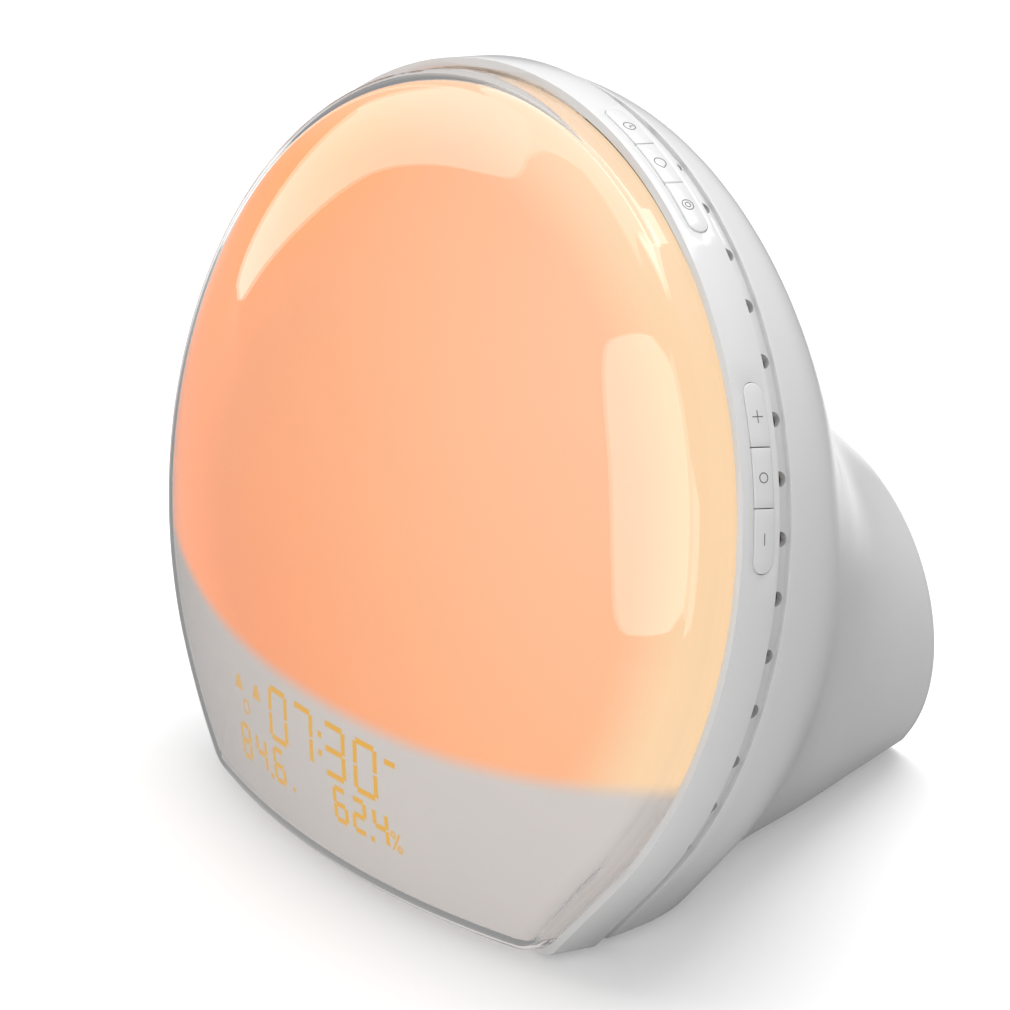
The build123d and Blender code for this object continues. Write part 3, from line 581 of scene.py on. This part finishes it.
# ---------------------------------------------------------------- outlines
RIGHT, UP, OUT = Vector((1.0, 0.0, 0.0)), Vector((0.0, SIN, COS)), Vector((0.0, -COS, SIN))
BASE_STEPS, CORNER_STEPS, SIDE_STEPS, ARC_STEPS = 16, 8, 8, 72
FULL_TURN = 2 * pi


def face_point(x, v, depth):
    """A point given right and up in the face, and its depth behind the ring's front edge."""
    return Vector((x, FACE_Y + depth * COS + v * SIN, AXIS_H - depth * SIN + v * COS))


def outline(radius, base, corner):
    """Round outline that runs straight down to a flat base, as (x, v, angle of its normal)."""
    turn = pi / 2 - SIDE_ANGLE
    side_x, side_v = radius * cos(SIDE_ANGLE), -radius * sin(SIDE_ANGLE)
    foot_x = side_x - (side_v - base) * tan(SIDE_ANGLE)
    middle_x, middle_v = foot_x - corner * tan(turn / 2), base + corner
    half = [(middle_x * i / BASE_STEPS, base, -pi / 2) for i in range(BASE_STEPS)]
    for i in range(CORNER_STEPS + 1):
        a = -pi / 2 + turn * i / CORNER_STEPS
        half.append((middle_x + corner * cos(a), middle_v + corner * sin(a), a))
    low_x, low_v, _ = half[-1]
    for i in range(1, SIDE_STEPS):
        t = i / SIDE_STEPS
        half.append((low_x + (side_x - low_x) * t, low_v + (side_v - low_v) * t, -SIDE_ANGLE))
    for i in range(ARC_STEPS + 1):
        a = -SIDE_ANGLE + (pi / 2 + SIDE_ANGLE) * i / ARC_STEPS
        half.append((radius * cos(a), radius * sin(a), a))
    return half + [(-x, v, pi - a) for x, v, a in reversed(half[1:-1])]


def inner_corner(radius):
    return max(LENS_CORNER + radius - LENS_R, CORNER_LEAST)


def ring_at(depth, radius, lift):
    """An outline in the face at a depth, its base raised by a lift."""
    base = (BASE_Z + lift - AXIS_H + depth * SIN) / COS
    return [face_point(x, v, depth) for x, v, _ in outline(radius, base, inner_corner(radius))]


def circle_points(radius, first=0.0, turn=FULL_TURN, count=28, centre=(0.0, 0.0)):
    """Points along a circle, or along an arc with its end point."""
    x, y = centre
    angles = [first + turn * i / count for i in range(count + (turn != FULL_TURN))]
    return [(x + radius * cos(a), y + radius * sin(a)) for a in angles]


# ---------------------------------------------------------------- meshes
WELD = 1e-6                     # points of a CAD mesh that are this near are one
FLAT = radians(0.3)             # its faces that turn less than this are one
SHARP = radians(35.0)           # an edge that turns more than this isn't smooth


def new_object(name, mesh):
    made = bpy.data.objects.new(name, mesh)
    bpy.context.scene.collection.objects.link(made)
    return made


def smooth(mesh):
    mesh.polygons.foreach_set("use_smooth", [True] * len(mesh.polygons))
    mesh.set_sharp_from_angle(angle=SHARP)


def object_of(work, name):
    """An object of a bmesh, which is freed."""
    mesh = bpy.data.meshes.new(name)
    work.to_mesh(mesh)
    work.free()
    smooth(mesh)
    return new_object(name, mesh)


def skin(name, rings, loop=False):
    """A mesh through rings of points; a ring of one point is a pole."""
    work = bmesh.new()
    rows = [[work.verts.new(point) for point in ring] for ring in rings]
    for low, high in list(zip(rows, rows[1:])) + ([(rows[-1], rows[0])] if loop else []):
        count = max(len(low), len(high))
        for i in range(count):
            j = (i + 1) % count
            corners = [
                low[i % len(low)], low[j % len(low)], high[j % len(high)], high[i % len(high)]
            ]
            work.faces.new(list(dict.fromkeys(corners)))
    bmesh.ops.recalc_face_normals(work, faces=work.faces)
    return object_of(work, name)


def block(name, rim, low, high):
    """A straight prism with its outline in X and Y and its ends at two heights."""
    middle = [sum(values) / len(rim) for values in zip(*rim)]
    ends = [[(x, y, height) for x, y in rim] for height in (low, high)]
    return skin(name, [[(*middle, low)], *ends, [(*middle, high)]])


def disc(name, x, z, radius, near, far):
    """A cylinder along Y."""
    rim = circle_points(radius, count=96, centre=(x, z))
    ends = [[(a, y, b) for a, b in rim] for y in (near, far)]
    return skin(name, [[(x, near, z)], *ends, [(x, far, z)]])


def applied(piece):
    """The piece with its modifiers made part of its mesh."""
    graph = bpy.context.evaluated_depsgraph_get()
    mesh = bpy.data.meshes.new_from_object(piece.evaluated_get(graph), depsgraph=graph)
    piece.modifiers.clear()
    old, piece.data = piece.data, mesh
    bpy.data.meshes.remove(old)
    mesh.name = piece.name
    return piece


def cut(piece, *cutters):
    """Takes each cutter's volume away from a piece."""
    for cutter in cutters:
        boolean = piece.modifiers.new("cut", "BOOLEAN")
        boolean.operation, boolean.solver, boolean.object = "DIFFERENCE", "EXACT", cutter
    applied(piece)
    for cutter in cutters:
        bpy.data.objects.remove(cutter)
    smooth(piece.data)


def rounded(piece, segments=2, angle=30.0):
    """Rounds the edges that turn by more than an angle."""
    bevel = piece.modifiers.new("edge", "BEVEL")
    bevel.width, bevel.segments = EDGE, segments
    bevel.limit_method, bevel.angle_limit = "ANGLE", radians(angle)
    bevel.harden_normals = False
    applied(piece)
    smooth(piece.data)
    return piece


def moulded(node):
    """A copy of a CAD node as one smooth mesh with rounded edges."""
    work = bmesh.new()
    work.from_mesh(frame["nodes"][node].data)
    bmesh.ops.remove_doubles(work, verts=work.verts, dist=WELD)
    bmesh.ops.dissolve_limit(work, angle_limit=FLAT, verts=work.verts, edges=work.edges)
    return rounded(object_of(work, node + "_piece"))


def finished(piece, slot, body, *replaced):
    """Gives a piece its finish, hangs it on its body and hides the CAD nodes that it stands in
    for.
    """
    piece.data.materials.clear()
    piece.data.materials.append(FINISHES[slot])
    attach(piece, body)
    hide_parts(*replaced)


# ---------------------------------------------------------------- the lamp face
WALL_STEPS, SHOULDER_STEPS, CAP_STEPS = 8, 8, 36


def dome_rings(inset, start):
    """Rings from a depth up the drafted wall, round the shoulder and over the dome to its pole."""
    near_r, far_r = LENS_R - inset, LENS_R - LENS_DRAFT - inset
    near_depth, far_depth, lift = FLANGE_END, -DOME_B - DRAFT_PAST, inset + LENS_LIFT
    near, far = ring_at(near_depth, near_r, lift), ring_at(far_depth, far_r, lift)
    angles = [a for _, _, a in outline(near_r, -near_r, inner_corner(near_r))]
    ball, radius = face_point(0, 0, DOME_R - DOME_B), DOME_R - inset
    round_r = max(SHOULDER - inset, SHOULDER_LEAST)
    first = (near_depth - start) / (near_depth - far_depth)
    walls, shoulders, ends = [], [], []
    for low, high, a in zip(near, far, angles):
        climb = high - low
        tangent = UP * cos(a) - RIGHT * sin(a)
        normal = tangent.cross(climb).normalized()
        if normal.dot(RIGHT * cos(a) + UP * sin(a)) < 0:
            normal.negate()
        # how far up the wall a ball of the shoulder's radius touches both wall and dome
        origin = low - normal * round_r - ball
        q = origin.dot(climb) / climb.length_squared
        gap = origin.length_squared - (radius - round_r) ** 2
        t = sqrt(q * q - gap / climb.length_squared) - q
        centre = low + climb * t - normal * round_r
        outward = (centre - ball).normalized()
        shares = [first + (t - first) * i / WALL_STEPS for i in range(WALL_STEPS)]
        turns = [normal.slerp(outward, i / SHOULDER_STEPS) for i in range(SHOULDER_STEPS + 1)]
        walls.append([low + climb * share for share in shares])
        shoulders.append([centre + turn * round_r for turn in turns])
        ends.append((centre + outward * round_r) - ball)
    rings = [list(ring) for ring in zip(*walls)] + [list(ring) for ring in zip(*shoulders)]
    for i in range(1, CAP_STEPS):
        share = 1 - i / CAP_STEPS
        cap = []
        for end in ends:
            x, v = end.dot(RIGHT) * share, end.dot(UP) * share
            cap.append(ball + RIGHT * x + UP * v + OUT * sqrt(radius**2 - x * x - v * v))
        rings.append(cap)
    return rings + [[ball + OUT * radius]]


def make_lens():
    outer = dome_rings(0.0, LIP_T - LIP_GAP)
    inner = dome_rings(LENS_T, FLANGE_END)
    flange = [
        ring_at(LIP_T - LIP_GAP, LENS_R - FLANGE_STEP, FLANGE_LIFT),
        ring_at(LIP_T, LENS_R, FLANGE_LIFT),
        ring_at(LIP_T, FLANGE_R, FLANGE_LIFT),
        ring_at(FLANGE_END, FLANGE_R, FLANGE_LIFT),
    ]
    lens = skin("clear_dome", outer[::-1] + flange + inner)
    finished(lens, "clear_cover", frame["nodes"]["lens_cover"]["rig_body"], "lens_cover")


def make_diffuser():
    outer = dome_rings(DIFFUSER_INSET, FLANGE_END)
    inner = dome_rings(DIFFUSER_INSET + DIFFUSER_T, FLANGE_END)
    milky = skin("milky_dome", outer[::-1] + inner)
    finished(milky, "diffuser", frame["nodes"]["diffuser"]["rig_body"], "diffuser")


# ---------------------------------------------------------------- rear cover
LOFT_STEPS = 48


def station(index, inset=0.0, forward=0.0):
    """Points of one cross section of the rear cover."""
    back_share, drop_share, radius_share = STATIONS[index]
    front_y = FACE_Y + (RING_DEPTH + GROOVE_W) * COS
    front_z = AXIS_H - (RING_DEPTH + GROOVE_W) * SIN
    y = front_y + back_share * (FACE_Y + END_BACK - front_y) - forward
    z = front_z + drop_share * (END_H - front_z)
    radius = END_R + radius_share * (COVER_R - END_R) - inset
    tilt = LEAN * (1 - index / (len(STATIONS) - 1))
    corner = COVER_CORNER + back_share * (END_CORNER - COVER_CORNER) - inset
    base = (BASE_Z + inset - z) / cos(tilt)
    points = outline(radius, base, max(corner, CORNER_LEAST))
    return [(x, y + v * sin(tilt), z + v * cos(tilt)) for x, v, _ in points]


def loft(sections, steps):
    """Rings on a smooth surface through cross sections: a natural cubic spline along each line."""
    points = np.array(sections)
    gaps = np.linalg.norm(np.diff(points, axis=0), axis=2).mean(axis=1)
    knots = np.concatenate([[0.0], np.cumsum(gaps)])
    count = len(knots)
    system, target = np.eye(count), np.zeros_like(points)
    for i in range(1, count - 1):
        before, after = gaps[i - 1], gaps[i]
        system[i, i - 1 : i + 2] = before, 2 * (before + after), after
        slopes = (points[i + 1] - points[i]) / after, (points[i] - points[i - 1]) / before
        target[i] = 6 * (slopes[0] - slopes[1])
    bends = np.linalg.solve(system, target.reshape(count, -1)).reshape(points.shape)
    rings = []
    for place in np.linspace(0.0, knots[-1], steps + 1):
        i = min(int(np.searchsorted(knots, place, side="right")) - 1, count - 2)
        gap = gaps[i]
        a, b = (knots[i + 1] - place) / gap, (place - knots[i]) / gap
        ring = a * points[i] + b * points[i + 1]
        ring += ((a**3 - a) * bends[i] + (b**3 - b) * bends[i + 1]) * gap**2 / 6
        rings.append([Vector(point) for point in ring])
    return rings


def end_centre(inset):
    return [Vector((0.0, FACE_Y + END_BACK - inset, END_H))]


def cover_shell():
    """The rear cover without its openings: outside, neck, lap and inside in one skin."""
    count = len(STATIONS)
    outer = loft([station(i) for i in range(count)], LOFT_STEPS)
    hollow = [station(i, COVER_WALL, COVER_WALL if i else 0.0) for i in range(count)]
    groove = RING_DEPTH + GROOVE_W
    neck = [
        ring_at(groove, GROOVE_R, GROOVE_LIFT),
        ring_at(RING_DEPTH - LAP_STEP, GROOVE_R, GROOVE_LIFT),
        ring_at(RING_DEPTH - LAP_STEP, LAP_R, LAP_LIFT),
        ring_at(LAP_START, LAP_R, LAP_LIFT),
        ring_at(LAP_START, THROAT_R, THROAT_LIFT),
        ring_at(groove, THROAT_R, THROAT_LIFT),
    ]
    inner = loft(hollow, LOFT_STEPS // 2)
    rings = [end_centre(0.0)] + outer[::-1] + neck + inner + [end_centre(COVER_WALL)]
    return rounded(skin("rear_housing", rings), segments=3, angle=40.0)


def hole_ring_tree():
    """Node tree for round holes spaced along a circle, each with its axis outwards."""
    group = bpy.data.node_groups.new("holes_on_a_ring", "GeometryNodeTree")
    sizes = {
        "Count": "NodeSocketInt",
        "Ring Radius": "NodeSocketFloat",
        "First Angle": "NodeSocketFloat",
        "Pitch": "NodeSocketFloat",
        "Hole Radius": "NodeSocketFloat",
        "Hole Length": "NodeSocketFloat",
        "Material": "NodeSocketMaterial",
    }
    for name, kind in sizes.items():
        group.interface.new_socket(name, in_out="INPUT", socket_type=kind)
    group.interface.new_socket("Geometry", in_out="OUTPUT", socket_type="NodeSocketGeometry")
    tree = Tree(group)
    given = group.nodes.new("NodeGroupInput")
    size = {name: Link(tree, given.outputs[name]) for name in sizes}
    angle = size["First Angle"] + size["Pitch"] * tree.node("GeometryNodeInputIndex")
    radius = size["Ring Radius"]
    place = tree.node(
        "ShaderNodeCombineXYZ", None, radius * angle.cosine(), radius * angle.sine()
    )
    turn = tree.node("ShaderNodeCombineXYZ", None, 0.0, pi / 2, angle)
    points = tree.node("GeometryNodePoints", None, Count=size["Count"], Position=place)
    hole = tree.node(
        "GeometryNodeMeshCylinder", None, Vertices=VENT_STEPS,
        Radius=size["Hole Radius"], Depth=size["Hole Length"],
    )
    placed = tree.node(
        "GeometryNodeInstanceOnPoints", None, Points=points, Instance=hole, Rotation=turn
    )
    real = tree.node("GeometryNodeRealizeInstances", None, placed)
    coated = tree.node(
        "GeometryNodeSetMaterial", None, Geometry=real, Material=size["Material"]
    )
    result = group.nodes.new("NodeGroupOutput")
    group.links.new(coated.socket, result.inputs["Geometry"])
    return group


def grown(name, group, **sizes):
    """A plain mesh made by a node tree, with sizes for its named inputs."""
    piece = new_object(name, bpy.data.meshes.new(name))
    modifier = piece.modifiers.new("grow", "NODES")
    modifier.node_group = group
    for item in group.interface.items_tree:
        if item.in_out == "INPUT":
            modifier[item.identifier] = sizes[item.name.replace(" ", "_").lower()]
    return applied(piece)


def vent_cutters():
    """The row of vents, over the top of the neck from side to side."""
    vents = grown(
        "vents", hole_ring_tree(), count=VENT_COUNT, ring_radius=GROOVE_R,
        first_angle=pi / 2 - (VENT_COUNT - 1) / 2 * VENT_PITCH, pitch=VENT_PITCH,
        hole_radius=VENT_R, hole_length=3 * COVER_WALL, material=FINISHES["shell"],
    )
    middle = face_point(0.0, 0.0, RING_DEPTH + VENT_BACK)
    into_face = Matrix((RIGHT, UP, OUT)).transposed().to_4x4()
    vents.data.transform(Matrix.Translation(middle) @ into_face)
    return vents


def rear_cutters():
    """The openings for grille and jack, round the CAD pieces that sit in them."""
    low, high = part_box("speaker_grille")
    x, z, radius = (low.x + high.x) / 2, (low.z + high.z) / 2, (high.x - low.x) / 2
    past = high.y + CUT_PAST
    recess = disc("recess", x, z, radius + FIT, low.y, past)
    throat = disc("throat", x, z, radius - GRILLE_LEDGE, low.y - CUT_PAST, past)
    low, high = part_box("power_jack")
    x, z = (low.x + high.x) / 2, (low.z + high.z) / 2
    return recess, throat, disc("jack_hole", x, z, JACK_HOLE_R, low.y, high.y + CUT_PAST)


def base_cutters():
    """What the cover leaves free for its battery door and its round feet."""
    low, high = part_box("battery_door")
    left, right, front, back = low.x - FIT, high.x + FIT, low.y - FIT, high.y + FIT
    rim = [(left, front), (right, front), (right, back), (left, back)]
    pockets = [block("door_recess", rim, -CUT_PAST, high.z)]
    for x, y in (FRONT_FEET, REAR_FEET):
        for side in (-1, 1):
            rim = circle_points(FOOT_R + FOOT_GAP, count=48, centre=(side * x, y))
            pockets.append(block("pocket", rim, -CUT_PAST, BASE_Z + FOOT_SINK))
    return pockets


def make_rear_cover():
    cover = cover_shell()
    cut(cover, vent_cutters(), *rear_cutters(), *base_cutters())
    finished(cover, "shell", "housing", "rear_cover")


# ---------------------------------------------------------------- keys and their marks
MARK_W = 0.00022
MARK_PROUD = 0.00003
MARK_SINK = 0.00015

CLOCK_R, HAND_LONG, HAND_SHORT = 0.0013, 0.0009, 0.0006
HORN_R, HORN_FIRST, HORN_TURN = 0.0013, radians(40), radians(280)
HORN_BACK, HORN_HALF, HORN_TIP = 0.0010, 0.0009, 0.0017
LIGHT_R, LIGHT_INNER_R = 0.0013, 0.0006
SET_R, PLUS_HALF, MINUS_HALF = 0.0010, 0.0013, 0.0012
# each key's strokes, as points along and across its row and whether they close
MARKS = {
    "alarm": [
        (circle_points(CLOCK_R), True),
        ([(0.0, -HAND_LONG), (0.0, 0.0)], False),
        ([(0.0, 0.0), (HAND_SHORT, 0.0)], False),
    ],
    "sound": [
        (circle_points(HORN_R, HORN_FIRST, HORN_TURN), False),
        ([(HORN_BACK, HORN_HALF), (HORN_TIP, 0.0)], False),
        ([(HORN_BACK, -HORN_HALF), (HORN_TIP, 0.0)], False),
    ],
    "light": [(circle_points(LIGHT_R), True), (circle_points(LIGHT_INNER_R), True)],
    "plus": [
        ([(-PLUS_HALF, 0.0), (PLUS_HALF, 0.0)], False),
        ([(0.0, -PLUS_HALF), (0.0, PLUS_HALF)], False),
    ],
    "set": [(circle_points(SET_R), True)],
    "minus": [([(-MINUS_HALF, 0.0), (MINUS_HALF, 0.0)], False)],
}
# each key's row, and its place in it from the middle downwards
KEY_PLACES = {
    "alarm": ("upper", -1), "sound": ("upper", 0), "light": ("upper", 1),
    "minus": ("lower", 1), "set": ("lower", 0), "plus": ("lower", -1),
}


def key_axes(row):
    """Along the row and outwards."""
    a = KEY_ROWS[row]
    return RIGHT * sin(a) - UP * cos(a), RIGHT * cos(a) + UP * sin(a)


def key_top(row, a, b):
    """A point on the caps' outer surface, by its place along and across the row."""
    along, outward = key_axes(row)
    radius = RING_R + KEY_PROUD + RING_FLARE * (KEY_BACK - b) / RING_DEPTH
    middle = face_point(0.0, 0.0, KEY_BACK)
    return middle + along * a + OUT * b + outward * sqrt(radius**2 - a * a)


def stroke(row, points, closed):
    """A raised line on a cap, through points along and across its row."""
    rings, count = [], len(points)
    outward = key_axes(row)[1]
    rise, sink = outward * MARK_PROUD, outward * MARK_SINK
    for i, (a, b) in enumerate(points):
        before = points[(i - 1) % count] if closed or i else points[0]
        after = points[(i + 1) % count] if closed or i < count - 1 else points[-1]
        da, db = after[0] - before[0], after[1] - before[1]
        size = sqrt(da * da + db * db)
        na, nb = -db / size * MARK_W / 2, da / size * MARK_W / 2
        left, right = key_top(row, a + na, b + nb), key_top(row, a - na, b - nb)
        rings.append([left + rise, right + rise, right - sink, left - sink])
    if not closed:
        first, last = [[sum(ring, Vector()) / 4] for ring in (rings[0], rings[-1])]
        rings = [first] + rings + [last]
    return skin("stroke", rings, loop=closed)


def join(name, pieces):
    work = bmesh.new()
    for piece in pieces:
        work.from_mesh(piece.data)
        bpy.data.objects.remove(piece)
    return object_of(work, name)


def make_keys():
    for key, (row, place) in KEY_PLACES.items():
        body = frame["nodes"]["key_" + key]["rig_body"]
        finished(moulded("key_" + key), "keys", body, "key_" + key)
        shift = place * KEY_PITCH
        strokes = [
            stroke(row, [(a + shift, b) for a, b in points], closed)
            for points, closed in MARKS[key]
        ]
        mark = join(key + "_mark", strokes)
        mark.data.materials.append(MARK_FINISH)
        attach(mark, body)


# ---------------------------------------------------------------- pieces kept from the CAD model
def dress_cad_nodes():
    slots = {part["node"]: part["material_slot"] for part in frame["record"]["subparts"]}
    for node, piece in frame["nodes"].items():
        piece.data.materials.clear()
        piece.data.materials.append(FINISHES[slots[node]])


# ---------------------------------------------------------------- floor and light
FLOOR_SIDE, FLOOR_CLOUD_SCALE = 40.0, 3.0
FLOOR_SEEN = grey(0.80), grey(0.81)
FLOOR_UNSEEN, FLOOR_LIFT = 0.58, 0.25   # its tone for the light it throws back, and its own light
MIRRORED, MIRRORED_BEHIND = 0.25, 1.0   # how bright the surroundings are in reflections
# where the mirrored floor is the bright one behind the clock: its left, near and far edges
BEHIND_LEFT, BEHIND_NEAR, BEHIND_FAR = (0.0, -0.10), (-0.01, 0.06), (0.30, 0.20)


def make_floor():
    bpy.ops.mesh.primitive_plane_add(size=FLOOR_SIDE)
    floor = bpy.context.object
    floor.name = "floor"
    finish = Finish(
        "white_floor", Roughness=0.6, Specular_IOR_Level=0.2, Emission_Strength=1.0
    )
    camera_ray = finish.node("ShaderNodeLightPath", out="Is Camera Ray")
    mirrored = camera_ray.also("Glossy Depth").ramp(0.0, 1.0)
    seen = camera_ray.most(camera_ray.also("Is Transmission Ray") * (1.0 - mirrored))
    x = finish.node("ShaderNodeSeparateXYZ", None, finish.place)
    y = x.also("Y")
    behind = x.ramp(*BEHIND_LEFT) * y.ramp(*BEHIND_NEAR) * y.ramp(*BEHIND_FAR)
    studio = finish.blend(behind, grey(MIRRORED), grey(MIRRORED_BEHIND))
    unseen = finish.blend(mirrored, grey(FLOOR_UNSEEN), grey(0.0))
    cloud = finish.noise(FLOOR_CLOUD_SCALE)
    colour = finish.blend(seen, unseen, finish.blend(cloud, *FLOOR_SEEN))
    lift = finish.blend(seen, finish.blend(mirrored, grey(0.0), studio), grey(FLOOR_LIFT))
    floor.data.materials.append(finish.surface(Base_Color=colour, Emission_Color=lift))


WORLD_FILL = 0.45               # its strength for the light on the clock
WORLD_BEHIND_SHARE, WORLD_BEHIND = 0.25, (0.25, 0.60)


def make_world():
    world = bpy.data.worlds.new("studio")
    bpy.context.scene.world = world
    world.use_nodes = True
    tree = Tree(world.node_tree)
    background = world.node_tree.nodes["Background"]
    camera_ray = tree.node("ShaderNodeLightPath", out="Is Camera Ray")
    mirrored = camera_ray.also("Glossy Depth").ramp(0.0, 1.0)
    way = tree.node("ShaderNodeTexCoord", out="Generated")
    behind = tree.node("ShaderNodeSeparateXYZ", None, way).also("Y").ramp(*WORLD_BEHIND)
    studio = MIRRORED + (MIRRORED_BEHIND - MIRRORED) * WORLD_BEHIND_SHARE * behind
    strength = (
        WORLD_FILL + (1.0 - WORLD_FILL) * camera_ray + (studio - WORLD_FILL) * mirrored
    )
    background.inputs["Color"].default_value = grey(1.0)
    world.node_tree.links.new(strength.socket, background.inputs["Strength"])


LIGHT_AIM = Vector((0.0, 0.0, 0.08))


def area_light(name, place, size, power):
    data = bpy.data.lights.new(name, "AREA")
    data.shape, data.energy = "RECTANGLE", power
    data.size, data.size_y = size
    lamp = bpy.data.objects.new(name, data)
    lamp.location = place
    lamp.rotation_mode = "QUATERNION"
    lamp.rotation_quaternion = (LIGHT_AIM - Vector(place)).to_track_quat("-Z", "Y")
    bpy.context.scene.collection.objects.link(lamp)
    return lamp


PANEL_STEPS = 6                 # along each rounded corner
PANEL_TONES, PANEL_CLOUD_SCALE = (grey(0.95), grey(1.0)), 1.5


def panel(name, corners, radiance):
    """A bright sheet that only shows as a reflection, its corners rounded off."""
    rim, corners = [], [Vector(corner) for corner in corners]
    for before, here, after in zip(corners[-1:] + corners, corners, corners[1:] + corners[:1]):
        start, end = (here + before) / 2, (here + after) / 2
        for k in range(PANEL_STEPS):
            t = k / PANEL_STEPS
            rim.append(start * (1 - t) ** 2 + here * 2 * t * (1 - t) + end * t**2)
    mesh = bpy.data.meshes.new(name)
    mesh.from_pydata(rim, [], [range(len(rim))])
    sheet = new_object(name, mesh)
    finish = Finish(
        name, Base_Color=grey(0.0), Specular_IOR_Level=0.0, Emission_Strength=radiance
    )
    light = finish.blend(finish.noise(PANEL_CLOUD_SCALE), *PANEL_TONES)
    sheet.data.materials.append(finish.surface(Emission_Color=light))
    sheet.visible_diffuse = sheet.visible_camera = sheet.visible_shadow = False


TOP_BOX_PLACE, TOP_BOX_SIZE, TOP_BOX_POWER = (-0.25, 0.42, 1.5), (1.5, 1.5), 24.5
FILL_PLACE, FILL_SIZE, FILL_POWER = (0.9, -1.5, 0.45), (1.2, 0.8), 9.0
WINDOW_Y, WINDOW_RADIANCE = -1.0, 2.3   # an upright sheet before the lamp, as X and Z
WINDOW = [
    (0.02, 0.04), (0.09, 0.05), (0.154, 0.077), (0.235, 0.136), (0.263, 0.166), (0.259, 0.236),
    (0.245, 0.347), (0.218, 0.456), (0.159, 0.582), (0.089, 0.665), (0.013, 0.713),
    (-0.143, 0.72), (-0.21, 0.677), (-0.243, 0.636), (-0.138, 0.476), (-0.068, 0.353),
    (-0.01, 0.184),
]
STRIP_X, STRIP_RADIANCE = -0.9, 1.7     # one on the left that widens upwards, as Y and Z
STRIP = [
    (-0.147, -0.008), (-0.19, 0.065), (-0.263, 0.176), (-0.327, 0.285), (-0.382, 0.373),
    (-0.48, 0.485), (-0.611, 0.618), (-0.785, 0.777), (-0.95, 0.95), (-0.5, 0.95),
    (-0.349, 0.598), (-0.201, 0.348), (-0.116, 0.14), (-0.085, 0.0),
]
TOP_Z, TOP_RADIANCE = 1.0, 1.4          # and one overhead, as X and Y
TOP = [
    (-1.2, -1.12), (-1.043, -0.968), (-0.92, -0.884), (-0.786, -0.83), (-0.643, -0.804),
    (-0.523, -0.816), (-0.429, -0.855), (-0.359, -0.9), (-0.1, -1.0), (0.2, 0.5), (0.1, 0.7),
    (-1.1, 0.7), (-1.2, 0.5),
]


def make_lights():
    area_light("top_box", TOP_BOX_PLACE, TOP_BOX_SIZE, TOP_BOX_POWER)
    fill = area_light("front_fill", FILL_PLACE, FILL_SIZE, FILL_POWER)
    fill.visible_glossy = False
    panel("window", [(x, WINDOW_Y, z) for x, z in WINDOW], WINDOW_RADIANCE)
    panel("strip", [(STRIP_X, y, z) for y, z in STRIP], STRIP_RADIANCE)
    panel("overhead", [(x, y, TOP_Z) for x, y in TOP], TOP_RADIANCE)


# ---------------------------------------------------------------- everything
scene = bpy.context.scene
scene.view_settings.view_transform = "Standard"
make_camera()
dress_cad_nodes()
make_lens()
make_diffuser()
finished(moulded("front_ring"), "shell", "housing", "front_ring")
make_rear_cover()
make_keys()
make_floor()
make_world()
make_lights()
